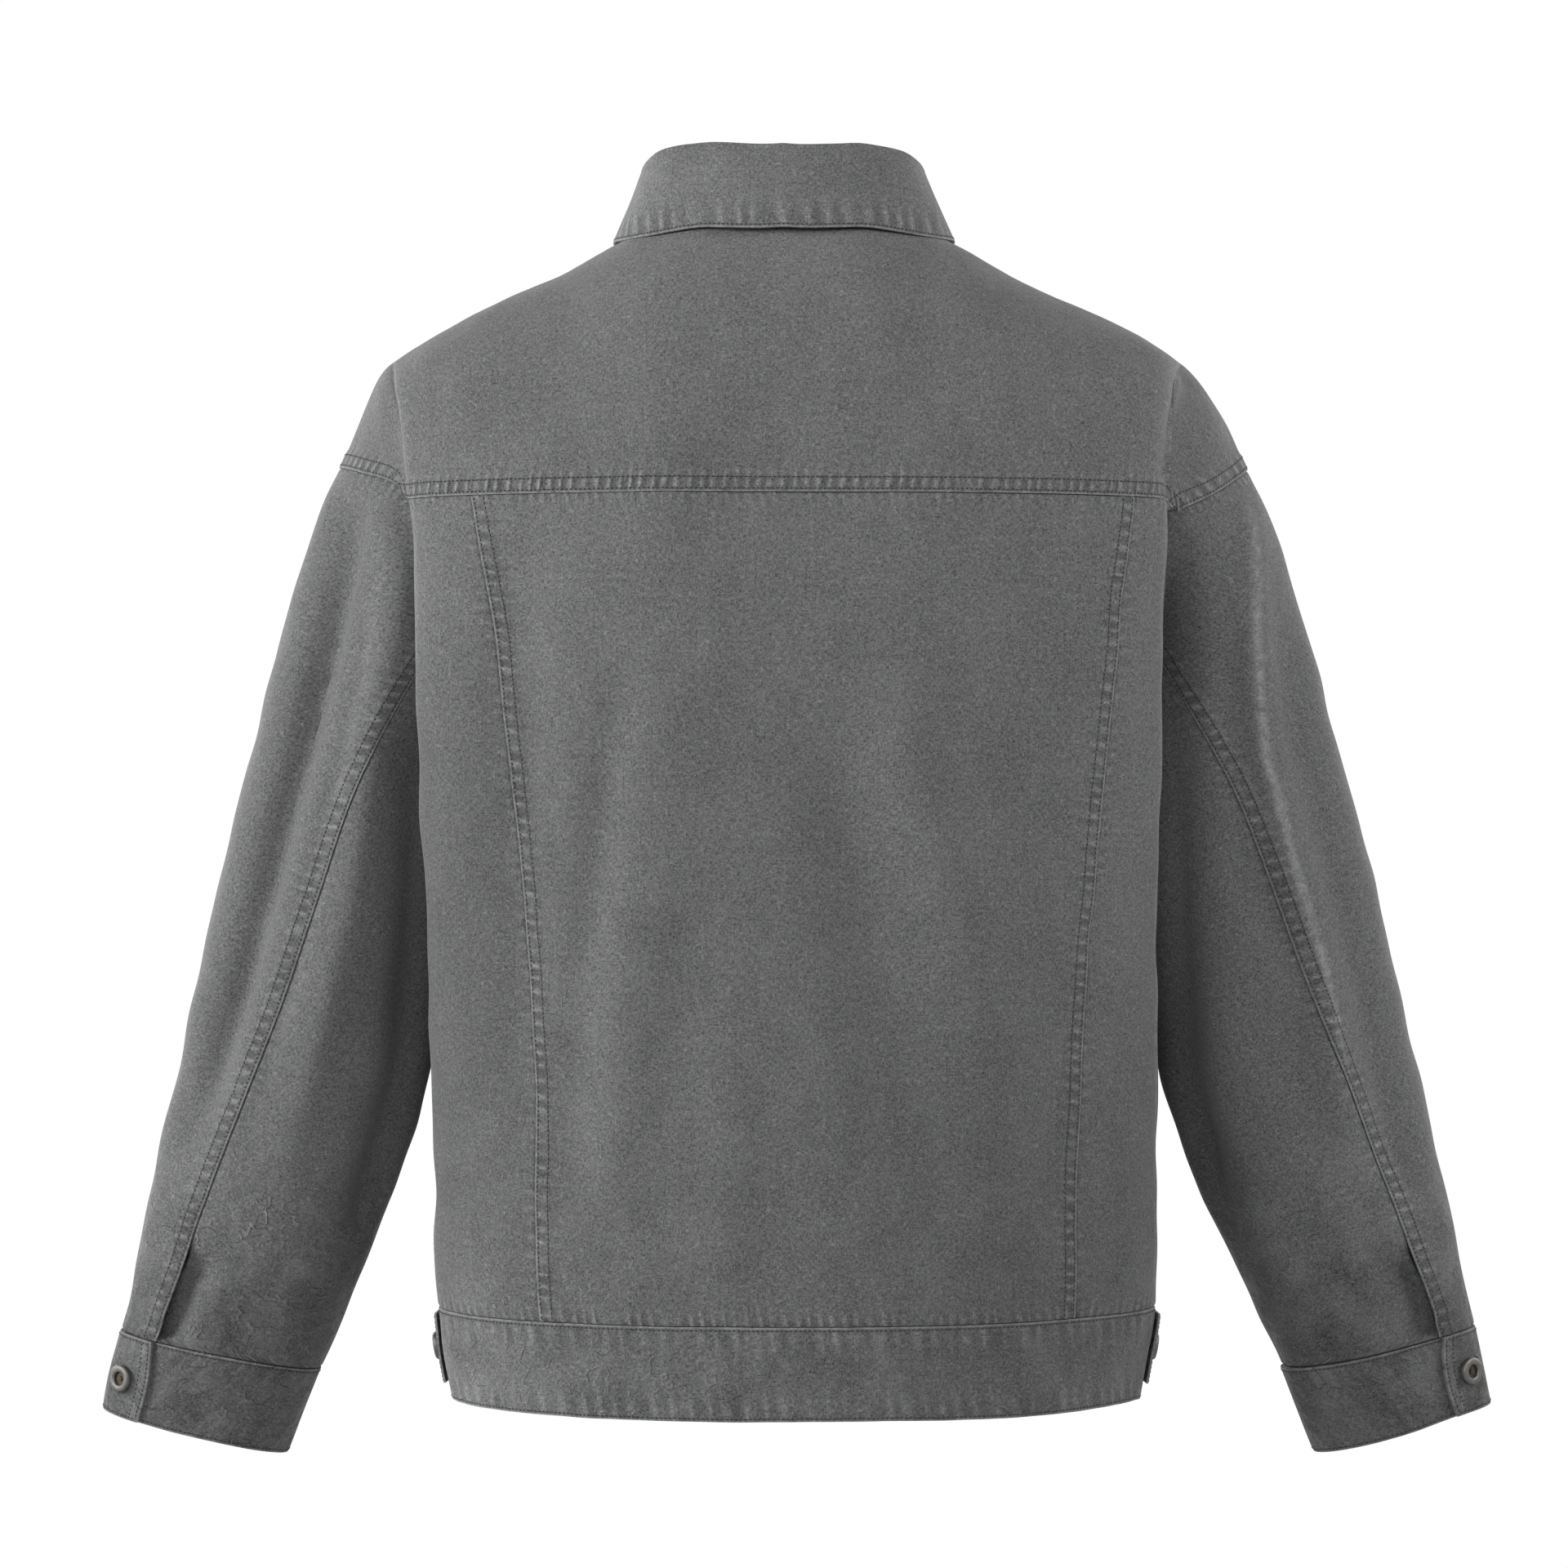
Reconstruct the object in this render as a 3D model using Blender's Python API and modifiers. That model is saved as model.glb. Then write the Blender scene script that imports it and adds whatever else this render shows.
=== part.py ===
"""Canvas work jacket, filled out as if it were worn.

Metres, +Z up.  The front faces -Y and the wearer's left is +X.  The origin is the middle of the neck
opening, level with the shoulder seams' inner ends.  Every panel is a thin wall whose points come from
the same few surfaces: the trunk's level sections, the arch over the shoulders and the sleeve's rings.
"""
import bpy
import bmesh
import numpy as np
from mathutils import Matrix, Vector

# Cloth, metres
CLOTH = 0.0012
BAND_CLOTH = 0.0024
SEAM_GAP = 0.0004
SLEEVE_GAP = 0.0008
LAYER_GAP = 0.0005       # between a piece and the cloth it lies on
LEAN = 0.0080            # the whole garment hangs this far out of plumb, metres sideways a metre down
BODY_SWAY = 0.0015       # below the neck the body lies this far to the wearer's right
SLEEVE_SWAY = 0.0028     # and the sleeves this much further

# Levels, metres below the origin
YOKE_DROP = 0.1415
WAIST_DROP = 0.5985
HEM_DROP = 0.6515

# Shoulders and neck
RIDGE_Y = -0.004         # where the top of the shoulder runs
RIDGE_END_X = 0.2255     # outer end of the ridge, where the side folds start
BOW_SQUARE = 2.4         # how square the level sections are
BOW_ROUND = 0.6
BACK_RISE = 0.9          # how the back yoke rises to the ridge, and how its depth runs in to it
BACK_RUN = 0.8
FRONT_RUN = 1.3          # the same for the front's depth
SHOULDER_ARCH = 108.0    # degrees over the shoulder at which the yoke meets the fronts
NECK_WIDTH = 20.2        # neck opening, degrees out from the centre line
NECK_BACK = 29.0         # and degrees of arch behind and in front of the ridge
NECK_FRONT = 46.0
COLLAR_WIDTH = 25.4      # the collar's lower edge, measured the same way
COLLAR_BACK = 37.5
COLLAR_FRONT = 60.0
COLLAR_POINT = 9.0       # extra arch at the collar points
COLLAR_ROLL = 0.0022     # radius of the collar's top fold
COLLAR_BULGE = 0.0025    # how far the fall bows out between its fold and its edge
NECK_CORNER = 113.0      # turn round the neck at which the shoulder seam starts

# Fastening
OVERLAP = 0.018          # each front runs this far past the centre line
OVERLAP_TURN = 13.3      # the same at the neck, degrees of turn round it
UNDERLAP_DEPTH = 0.0030  # and the right one lies this far inside the left one
BUTTON_RADIUS = 0.0078
BUTTON_HEIGHT = 0.0032
BUTTON_HOLE = 0.0036
FRONT_BUTTON_DROPS = (0.085, 0.200, 0.315, 0.430, 0.545)
BAND_BUTTON_DROP = 0.6245
CUFF_END_TURN = 54.0     # where a cuff's buttoned end lies, degrees behind the outer line
CUFF_BUTTON_TURN = 33.0
CUFF_UNDERLAP_TURN = 24.0
TAB_HEIGHT = 0.040

# Side folds: the ways the cloth leaves the crease and meets the armhole or side seam, for the back
LEAVE_YOKE = np.array([-0.10, -0.95, 0.0])      # at the yoke seam
LEAVE_CHEST = np.array([-0.75, -0.65, 0.0])     # under the sleeve, where the fold turns back in
LEAVE_WAIST = np.array([0.03, -1.0, 0.0])       # below the armhole
LEAVE_SHOULDER = np.array([0.861, 0.0, -0.508])
REACH_SIDE = np.array([0.0, -1.0, 0.0])
REACH_SHOULDER = np.array([0.43, 0.0, -0.90])
FOLD_FULLNESS = 0.8

HIDDEN_TUCK = 0.0016     # the side back stops this far below the yoke inside the fold, clear of its wall
STEP = 12.0              # degrees between the points round an armhole
SLEEVE_HEAD = 0.30       # the sleeve takes its armhole's shape in over this part of its length
RING_SQUARE = 0.92       # how square the sleeve's rings are


class Table:
    """A short table with named columns, read smoothly between its rows by the first column."""

    def __init__(self, columns, *rows):
        names = columns.split()
        data = np.array(rows, dtype=float)
        self.key = data[:, 0]
        self.values = {name: data[:, place] for place, name in enumerate(names)}
        self.slopes = {name: self.slope(self.values[name]) for name in names}

    def slope(self, values):
        run = np.diff(self.key)
        rate = np.diff(values) / run
        slopes = np.empty_like(values)
        slopes[0] = rate[0]
        slopes[-1] = rate[-1]
        for i in range(1, len(values) - 1):
            before, after = rate[i - 1], rate[i]
            slopes[i] = 0.0 if before * after <= 0 else 2 * before * after / (before + after)
        return slopes

    def read(self, name, key):
        key = np.asarray(key, dtype=float)
        i = np.clip(np.searchsorted(self.key, key) - 1, 0, len(self.key) - 2)
        run = self.key[i + 1] - self.key[i]
        t = np.clip((key - self.key[i]) / run, 0.0, 1.0)
        values, slopes = self.values[name], self.slopes[name]
        start = values[i] * (1 + 2 * t) * (1 - t) ** 2 + values[i + 1] * t * t * (3 - 2 * t)
        return start + run * (slopes[i] * t * (1 - t) ** 2 - slopes[i + 1] * t * t * (1 - t))


# The trunk's level sections.  The creases are where the back and the fronts fold in beside the sleeves.
BACK = Table("drop      middle  crease_x crease_y",
             (0.1415,   0.127,  0.2120,  0.062),
             (0.2000,   0.132,  0.2094,  0.066),
             (0.2600,   0.134,  0.2083,  0.062),
             (0.3200,   0.133,  0.2068,  0.053),
             (0.4000,   0.130,  0.2052,  0.038),
             (0.4700,   0.127,  0.2058,  0.028),
             (0.5500,   0.124,  0.2059,  0.022),
             (0.5985,   0.121,  0.2036,  0.020),
             (0.6515,   0.114,  0.1960,  0.018))
FRONT = Table("drop     middle  crease_x crease_y",
              (0.1415,  -0.128, 0.1960,  -0.076),
              (0.2000,  -0.135, 0.1945,  -0.084),
              (0.2600,  -0.137, 0.1925,  -0.084),
              (0.3200,  -0.135, 0.1915,  -0.076),
              (0.4000,  -0.131, 0.1925,  -0.062),
              (0.4700,  -0.128, 0.1960,  -0.050),
              (0.5500,  -0.126, 0.1985,  -0.044),
              (0.5985,  -0.123, 0.1970,  -0.042),
              (0.6515,  -0.117, 0.1905,  -0.040))
SIDE = Table("drop     x       y",
             (0.2920,  0.1585, -0.010),
             (0.3400,  0.1600, -0.009),
             (0.3900,  0.1710, -0.006),
             (0.4400,  0.1910, -0.003),
             (0.4800,  0.2040, -0.001),
             (0.5500,  0.2055, 0.000),
             (0.5985,  0.2036, 0.000),
             (0.6515,  0.1955, 0.000))
# Long back seams: how far out they lie.
PRINCESS = Table("drop    x",
                 (0.1415, 0.1837),
                 (0.2050, 0.1740),
                 (0.2740, 0.1670),
                 (0.3650, 0.1578),
                 (0.4600, 0.1530),
                 (0.5985, 0.1490))
# Height of the shoulder ridge above the origin, out from the centre; under the neck it carries on.
RIDGE = Table("x        back     front",
              (0.0000,  0.0389,  0.0050),
              (0.0400,  0.0340,  0.0100),
              (0.0780,  0.0165,  0.0150),
              (0.1020,  0.0041,  0.0041),
              (0.1526, -0.0203,  -0.0203),
              (0.1910, -0.0390,  -0.0390),
              (0.2255, -0.0597,  -0.0597))
# The armhole seam: 0 at the top, 180 under the arm, positive behind.
ARMHOLE = Table("turn    x       y       z",
                (-180.0, 0.1585, -0.010, -0.2920),
                (-140.0, 0.1660, -0.047, -0.2560),
                (-105.0, 0.1745, -0.068, -0.2080),
                (-80.0,  0.1870, -0.073, -0.1660),
                (-60.0,  0.2030, -0.069, -0.1415),
                (-30.0,  0.2400, -0.042, -0.1285),
                (0.0,    0.2610, -0.004, -0.1196),
                (30.0,   0.2420, 0.032,  -0.1290),
                (60.0,   0.2155, 0.050,  -0.1415),
                (80.0,   0.2010, 0.051,  -0.1620),
                (105.0,  0.1870, 0.043,  -0.2000),
                (140.0,  0.1710, 0.021,  -0.2550),
                (180.0,  0.1585, -0.010, -0.2920))
# Sleeve rings: the ends of each ring's wide axis on the outer and inner lines, its middle and half depth.
SLEEVE = Table("along   outer_x outer_z  inner_x inner_z  middle  depth",
               (0.000,  0.2610, -0.1196, 0.1585, -0.2920, -0.008, 0.0560),
               (0.059,  0.2751, -0.1506, 0.1680, -0.3080, -0.011, 0.0540),
               (0.125,  0.2879, -0.1883, 0.1760, -0.3260, -0.014, 0.0540),
               (0.225,  0.3041, -0.2449, 0.1860, -0.3560, -0.016, 0.0550),
               (0.330,  0.3190, -0.3015, 0.1950, -0.3880, -0.018, 0.0555),
               (0.442,  0.3330, -0.3581, 0.2040, -0.4270, -0.020, 0.0555),
               (0.562,  0.3467, -0.4149, 0.2125, -0.4740, -0.022, 0.0535),
               (0.684,  0.3600, -0.4720, 0.2270, -0.5200, -0.025, 0.0500),
               (0.798,  0.3730, -0.5285, 0.2450, -0.5640, -0.028, 0.0460),
               (0.917,  0.3850, -0.5840, 0.2629, -0.6044, -0.032, 0.0400),
               (1.000,  0.3918, -0.6178, 0.2791, -0.6405, -0.034, 0.0350),
               (1.110,  0.4015, -0.6640, 0.2990, -0.6900, -0.037, 0.0310))
# The sleeve's two seams, degrees round from the outer line.
SLEEVE_SEAM = Table("along elbow  front",
                    (0.00, 120.0, -132.0),
                    (0.20, 104.0, -127.0),
                    (0.45, 79.0,  -122.0),
                    (0.65, 66.0,  -118.0),
                    (0.86, 55.0,  -116.0),
                    (1.00, 50.0,  -116.0))
# Collar: its stand's height and how far its fold leans out, round from the middle of the back.
COLLAR = Table("turn    height  lean    stand_off",
               (0.0,    0.0395, -0.009, 0.0050),
               (40.0,   0.0390, -0.006, 0.0045),
               (60.0,   0.0350, -0.002, 0.0035),
               (90.0,   0.0280, 0.001,  0.0030),
               (120.0,  0.0260, 0.004,  0.0050),
               (150.0,  0.0260, 0.005,  0.0060),
               (180.0,  0.0240, 0.005,  0.0060))


def unit(vector):
    return vector / np.maximum(np.linalg.norm(vector, axis=-1, keepdims=True), 1e-9)


def blend(low, high, value):
    """0 below low, 1 above high, smooth between."""
    t = np.clip((value - low) / (high - low), 0.0, 1.0)
    return t * t * (3 - 2 * t)


def point(x, y, z):
    return np.stack(np.broadcast_arrays(x, y, z), axis=-1).astype(float)


def face_table(face):
    return BACK if face > 0 else FRONT


def section_y(face, part, drop):
    """Depth of a level section; part is 0 at the centre line and 1 at the crease."""
    table = face_table(face)
    crease = table.read("crease_y", drop)
    bow = np.clip(1 - np.abs(part) ** BOW_SQUARE, 0.0, 1.0) ** BOW_ROUND
    return crease + (table.read("middle", drop) - crease) * bow


def trunk(face, spread, level):
    """A point on the back or front; spread is degrees out from the centre line, 90 at the crease.

    A positive level is metres below the yoke seam.  A negative one is degrees of arch above it.
    """
    spread, level = np.broadcast_arrays(np.asarray(spread, float), np.asarray(level, float))
    part = np.sin(np.radians(spread))
    table = face_table(face)
    drop = YOKE_DROP + np.maximum(level, 0.0)
    arch = np.radians(np.maximum(-level, 0.0))
    rise = np.abs(np.sin(arch))
    run = np.abs(np.cos(arch)) * np.sign(np.cos(arch))
    crease_x = table.read("crease_x", drop)
    x = part * (crease_x + (RIDGE_END_X - crease_x) * rise)
    y = section_y(face, part, drop)
    lift = RIDGE.read("back" if face > 0 else "front", np.abs(x)) + YOKE_DROP
    if face > 0:
        near = np.maximum(run, 0.0) ** BACK_RUN
        beyond = np.maximum(-run, 0.0) ** FRONT_RUN
        other = section_y(-1, part, drop)
        z = np.where(run < 0, lift * rise, lift * rise ** BACK_RISE)
        y_high = RIDGE_Y + (y - RIDGE_Y) * near + (other - RIDGE_Y) * beyond
    else:
        z = lift * rise
        y_high = RIDGE_Y + (y - RIDGE_Y) * np.maximum(run, 0.0) ** FRONT_RUN
    high = level < 0
    return point(x, np.where(high, y_high, y), np.where(high, z - YOKE_DROP, -drop))


def armhole(turn):
    turn = (np.asarray(turn, float) + 180.0) % 360.0 - 180.0
    return point(ARMHOLE.read("x", turn), ARMHOLE.read("y", turn), ARMHOLE.read("z", turn))


def beside(face, part, level, end):
    """A point from the crease (part 0) round to the armhole or side seam (part 1, at end)."""
    start = trunk(face, 90.0, level)
    drop = YOKE_DROP + np.maximum(level, 0.0)
    arch = np.radians(np.clip(-np.asarray(level, float), 0.0, 90.0))
    high = np.sin(arch)[..., None]
    inward = np.array([1.0, face, 1.0])
    free = blend(0.39, 0.47, drop)[..., None]
    under = blend(0.145, 0.185, drop)[..., None]
    side_on = blend(0.285, 0.320, drop)[..., None]
    leave = (LEAVE_YOKE * (1 - under) + LEAVE_CHEST * under) * (1 - free) + LEAVE_WAIST * free
    leave = unit(leave * inward * (1 - high) + LEAVE_SHOULDER * high)
    reach = unit(end - start) * (1 - side_on) + REACH_SIDE * inward * side_on
    reach = unit(reach * (1 - high) + REACH_SHOULDER * high)
    chord = np.linalg.norm(end - start, axis=-1, keepdims=True) * FOLD_FULLNESS
    t = np.asarray(part, float)[..., None]
    return (start * (1 + 2 * t) * (1 - t) ** 2 + end * t * t * (3 - 2 * t)
            + chord * (leave * t * (1 - t) ** 2 - reach * t * t * (1 - t)))


def neck_place(turn, width, back, front, point_out=0.0):
    """Spread and arch of a ring round the neck; turn is 0 at the middle of the back, 180 at the front."""
    spread = width * np.sin(np.radians(turn))
    around = np.cos(np.radians(turn))
    reach = np.where(around > 0, back, front) + point_out
    return spread, 90.0 - reach * around


def over(spread, arch):
    """A point on the shoulders from arch degrees up from the back yoke seam, 180 at the front."""
    arch = np.asarray(arch, float)
    back = trunk(1, spread, -np.clip(arch, 1e-6, 180.0))
    front = trunk(-1, spread, -np.clip(180.0 - arch, 1e-6, 90.0))
    ahead = blend(84.0, 112.0, arch)[..., None]
    return back * (1 - ahead) + front * ahead


def outward(function, u, v, step=1e-3):
    """Unit normal of a surface, from its own neighbouring points."""
    du = function(u + step, v) - function(u - step, v)
    dv = function(u, v + step) - function(u, v - step)
    return unit(np.cross(du, dv))


def sleeve_ring(turn, along):
    """A point on the sleeve without its armhole."""
    outer = point(SLEEVE.read("outer_x", along), SLEEVE.read("middle", along), SLEEVE.read("outer_z", along))
    inner = point(SLEEVE.read("inner_x", along), SLEEVE.read("middle", along), SLEEVE.read("inner_z", along))
    c = np.cos(np.radians(turn))
    s = np.sin(np.radians(turn))
    wide = np.sign(c) * np.abs(c) ** RING_SQUARE
    deep = np.sign(s) * np.abs(s) ** RING_SQUARE
    depth = SLEEVE.read("depth", along)
    across = point(0.0, deep * depth, 0.0)
    return (outer + inner) / 2 + (outer - inner) / 2 * np.asarray(wide)[..., None] + across


def sleeve(turn, along):
    """A point on the sleeve: turn 0 on the outer line, 90 behind; along 0 at the armhole, 1 at the cuff."""
    turn, along = np.broadcast_arrays(np.asarray(turn, float), np.asarray(along, float))
    near = np.clip(1 - along / SLEEVE_HEAD, 0.0, 1.0)[..., None] ** 2
    return sleeve_ring(turn, along) + (armhole(turn) - sleeve_ring(turn, np.zeros_like(along))) * near


# Panels, each a function from two arrays of places to points

def steps(start, end, count):
    return np.linspace(start, end, count + 1)


def princess_spread(level):
    drop = YOKE_DROP + np.maximum(level, 0.0)
    return np.degrees(np.arcsin(PRINCESS.read("x", drop) / BACK.read("crease_x", drop)))


def armhole_rows(face):
    """Turns of the armhole's points below the yoke seam, from the seam down to the underarm."""
    return face * np.arange(60.0, 180.0 + STEP / 2, STEP)


def body_rows(face, below=5):
    """Levels down a panel's side, and where each row ends on the armhole or the side seam."""
    turns = armhole_rows(face)
    ends = armhole(turns)
    levels = np.maximum(-ends[:, 2] - YOKE_DROP, 0.0)
    drops = steps(SIDE.key[0], WAIST_DROP, below)[1:]
    sides = point(SIDE.read("x", drops), SIDE.read("y", drops), -drops)
    return np.concatenate([levels, drops - YOKE_DROP]), np.concatenate([ends, sides])


def back_panel_points():
    levels = body_rows(1)[0]
    part = steps(-1, 1, 12)
    spread = part[:, None] * princess_spread(levels)[None, :]
    return trunk(1, spread, np.broadcast_to(levels, spread.shape))


def side_columns(face, start_spread, levels, ends, panel_steps, fold_steps):
    """Columns from a seam out to the crease, then round to the armhole or side seam."""
    columns = []
    for t in steps(0, 1, panel_steps):
        columns.append(trunk(face, start_spread + (90.0 - start_spread) * t, levels))
    for t in steps(0, 1, fold_steps)[1:]:
        columns.append(beside(face, np.full_like(levels, t), levels, ends))
    return np.stack(columns)


def back_side_points():
    levels, ends = body_rows(1)
    grid = side_columns(1, princess_spread(levels), levels, ends, 3, 3)
    grid[4:, 0, 2] -= HIDDEN_TUCK
    return grid


def yoke_points():
    """The yoke from armhole to armhole: rows from the back seam over to the shoulder seam."""
    start = princess_spread(0.0)
    arches = np.array([0.0, 18.0, 36.0, 54.0, 72.0, 90.0, 99.0, SHOULDER_ARCH])
    fractions = arches / SHOULDER_ARCH
    turns = 60.0 - 60.0 * arches / 90.0
    neck_steps, shoulder_steps = 6, 3
    columns = []
    for i in range(neck_steps + 1):
        turn = NECK_CORNER * i / neck_steps
        top_spread, top_arch = neck_place(turn, NECK_WIDTH, NECK_BACK, NECK_FRONT)
        low_spread = start * i / neck_steps
        spread = low_spread + (top_spread - low_spread) * fractions ** 1.2
        columns.append(over(spread, top_arch * fractions))
    corner = neck_place(NECK_CORNER, NECK_WIDTH, NECK_BACK, NECK_FRONT)[0]
    for t in steps(0, 1, shoulder_steps)[1:]:
        low_spread = start + (90.0 - start) * t
        top_spread = corner + (90.0 - corner) * t
        spread = low_spread + (top_spread - low_spread) * fractions ** 1.2
        columns.append(over(spread, arches))
    half = np.stack(columns)
    cap = shoulder_cap(arches, turns, 3)
    half = np.concatenate([half, cap[1:]])
    mirrored = half[::-1].copy()
    mirrored[..., 0] *= -1
    return np.concatenate([mirrored[:-1], half])


def shoulder_cap(arches, turns, count):
    """Columns from the crease out to the armhole, for rows over the end of the shoulder."""
    ends = armhole(turns)
    start = over(np.full_like(arches, 90.0), arches)
    ahead = arches > 90.0
    columns = []
    for t in steps(0, 1, count):
        part = np.full_like(arches, t)
        back = beside(1, part, -np.clip(arches, 1e-6, 90.0), ends)
        front = beside(-1, part, -np.clip(180.0 - arches, 1e-6, 90.0), ends)
        column = np.where(ahead[:, None], front, back)
        shift = start - np.where(ahead[:, None], trunk(-1, 90.0, -np.clip(180.0 - arches, 1e-6, 90.0)),
                                 trunk(1, 90.0, -np.clip(arches, 1e-6, 90.0)))
        columns.append(column + shift * (1 - t))
    return np.stack(columns)


def front_points(overlap_depth):
    """A left front: rows from the shoulder and neck seams down, columns from the side in to the centre."""
    levels, ends = body_rows(-1)
    arches = np.array([SHOULDER_ARCH, 117.0, 126.0, 144.0, 162.0])
    cap_turns = 60.0 - 60.0 * arches / 90.0
    fractions = (180.0 - arches) / (180.0 - SHOULDER_ARCH)
    edge_spread = np.degrees(np.arcsin(OVERLAP / FRONT.values["crease_x"][0]))
    shoulder_steps, neck_steps = 3, 5
    inner_spread = 60.0
    corner = neck_place(NECK_CORNER, NECK_WIDTH, NECK_BACK, NECK_FRONT)[0]
    columns = []
    caps = shoulder_cap(arches, cap_turns, 3)
    for i, t in enumerate(steps(1, 0, 3)):
        upper = caps[3 - i]
        lower = beside(-1, np.full_like(levels, t), levels, ends)
        columns.append(np.concatenate([upper, lower]))
    for t in steps(0, 1, shoulder_steps)[1:]:
        low_spread = 90.0 + (inner_spread - 90.0) * t
        top_spread = 90.0 + (corner - 90.0) * t
        spread = low_spread + (top_spread - low_spread) * fractions
        columns.append(np.concatenate([over(spread, arches), trunk(-1, low_spread, levels)]))
    turns = np.append(steps(NECK_CORNER, 180.0 - OVERLAP_TURN, neck_steps)[1:], 180.0 + OVERLAP_TURN)
    low_spreads = np.append(steps(inner_spread, edge_spread, neck_steps)[1:], -edge_spread)
    for turn, low_spread in zip(turns, low_spreads):
        top_spread, top_arch = neck_place(turn, NECK_WIDTH, NECK_BACK, NECK_FRONT)
        spread = low_spread + (top_spread - low_spread) * fractions
        arch = 180.0 + (top_arch - 180.0) * fractions
        columns.append(np.concatenate([over(spread, arch), trunk(-1, low_spread, levels)]))
    grid = np.stack(columns)
    near_edge = 1 - blend(0.020, 0.045, grid[..., 0])
    grid[..., 1] += overlap_depth * near_edge
    return grid


def collar_ring(turn):
    """The neck seam, the fold and the lower edge of the collar at a turn round the neck."""
    turn = np.asarray(turn, float)
    spread, arch = neck_place(turn, NECK_WIDTH, NECK_BACK, NECK_FRONT)
    neck = over(spread, arch)
    out = unit(point(np.sin(np.radians(turn)), np.cos(np.radians(turn)), 0.0))
    away = np.abs(turn)
    fold = neck + out * COLLAR.read("lean", away)[..., None] + point(0.0, 0.0, COLLAR.read("height", away))
    points = COLLAR_POINT * blend(120.0, 152.0, away)
    edge_turn = turn * (1 - 0.085 * blend(135.0, 172.0, away))
    spread, arch = neck_place(edge_turn, COLLAR_WIDTH, COLLAR_BACK, COLLAR_FRONT, points)
    normal = outward(over, spread, arch, 0.5)
    normal = normal * np.sign(normal[..., 2])[..., None]
    edge = over(spread, arch) + normal * COLLAR.read("stand_off", away)[..., None]
    return neck, out, fold, edge


STAND_TURNS = list(steps(0.0, NECK_CORNER, 6)) + list(steps(NECK_CORNER, 180.0 - OVERLAP_TURN, 5))[1:]


def both_sides(turns):
    turns = np.array(turns)
    return np.concatenate([-turns[:0:-1], turns])


def stand_points():
    neck, out, fold, _ = collar_ring(both_sides(STAND_TURNS))
    seat = neck + point(0.0, 0.0, np.full(len(neck), 0.0002)) - out * 0.0005
    top = fold - point(0.0, 0.0, np.full(len(neck), 0.0006))
    return np.stack([seat, seat * 0.5 + top * 0.5, top], axis=1)


def fall_points():
    """From the stand's top, over the fold and down to the edge."""
    neck, out, fold, edge = collar_ring(both_sides(STAND_TURNS))
    up = point(0.0, 0.0, np.ones(len(neck)))
    rows = []
    for angle in (0.0, 60.0, 120.0, 180.0):
        turn_out = COLLAR_ROLL * (1 - np.cos(np.radians(angle)))
        rows.append(fold + out * turn_out + up * (COLLAR_ROLL * np.sin(np.radians(angle)) + 0.0003))
    last = rows[-1]
    for t in (0.35, 0.7, 1.0):
        rows.append(last + (edge - last) * t + out * COLLAR_BULGE * np.sin(np.pi * t))
    return np.stack(rows, axis=1)


def sleeve_rows(turns_of, around, stations):
    """Points of one sleeve piece; turns_of gives its two seams at each place along."""
    along = np.array(stations)
    first, last = turns_of(along)
    part = steps(0, 1, around)[:, None]
    turns = first[None, :] + (last - first)[None, :] * part
    return sleeve(turns, np.broadcast_to(along, turns.shape))


STATIONS = (0.0, 0.05, 0.11, 0.18, 0.27, 0.38, 0.50, 0.62, 0.74, 0.87, 1.0)


def sleeve_upper_points():
    return sleeve_rows(lambda a: (SLEEVE_SEAM.read("front", a), SLEEVE_SEAM.read("elbow", a)), 21, STATIONS)


def sleeve_under_points():
    return sleeve_rows(lambda a: (SLEEVE_SEAM.read("elbow", a), SLEEVE_SEAM.read("front", a) + 360.0), 9,
                       STATIONS)


def cuff_points():
    """A strip round the wrist whose buttoned end lies over its other end."""
    first = CUFF_END_TURN - CUFF_UNDERLAP_TURN
    turns = steps(first, CUFF_END_TURN + 360.0, 22)
    along = np.array([1.0005, 1.055, 1.110])
    turn_grid = np.repeat(turns[:, None], len(along), axis=1)
    grid = sleeve_ring(turn_grid, np.broadcast_to(along, turn_grid.shape))
    middle = grid[:-1].mean(axis=0)
    away = unit(grid - middle[None])
    under = 1 - blend(first + 28.0, first + 62.0, turns)
    lift = 0.0005 - (BAND_CLOTH + 0.0008) * under
    return grid + away * lift[:, None, None]


def band_spread_points(face, start, end, count, drops):
    """A waistband strip on one face between two spreads."""
    spread = steps(start, end, count)[:, None]
    levels = (np.array(drops) - YOKE_DROP)[None, :]
    return trunk(face, spread, levels)


BAND_DROPS = (WAIST_DROP + 0.0002, 0.625, HEM_DROP)


def band_side(face, parts, drops):
    """Waistband columns from the crease round to the side seam."""
    levels = np.array(drops) - YOKE_DROP
    ends = point(SIDE.read("x", np.array(drops)), SIDE.read("y", np.array(drops)), -np.array(drops))
    return np.stack([beside(face, np.full_like(levels, t), levels, ends) for t in parts])


def band_back_points():
    middle = band_spread_points(1, -90.0, 90.0, 18, BAND_DROPS)
    side = band_side(1, (0.5, 1.0), BAND_DROPS)
    mirrored = side[::-1].copy()
    mirrored[..., 0] *= -1
    return np.concatenate([mirrored, middle, side])


def band_front_points(overlap_depth):
    side = band_side(-1, (1.0, 0.5), BAND_DROPS)
    edge = -np.degrees(np.arcsin(OVERLAP / FRONT.values["crease_x"][-1]))
    middle = band_spread_points(-1, 90.0, edge, 9, BAND_DROPS)
    grid = np.concatenate([side, middle])
    near_edge = 1 - blend(0.022, 0.050, grid[..., 0])
    grid[..., 1] += overlap_depth * near_edge
    return grid


def front_middle(x, drop):
    """A point near the centre front by its own x and drop below the origin, on the outer cloth."""
    spread = np.degrees(np.arcsin(x / FRONT.read("crease_x", drop)))
    return trunk(-1, spread, drop - YOKE_DROP)


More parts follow.
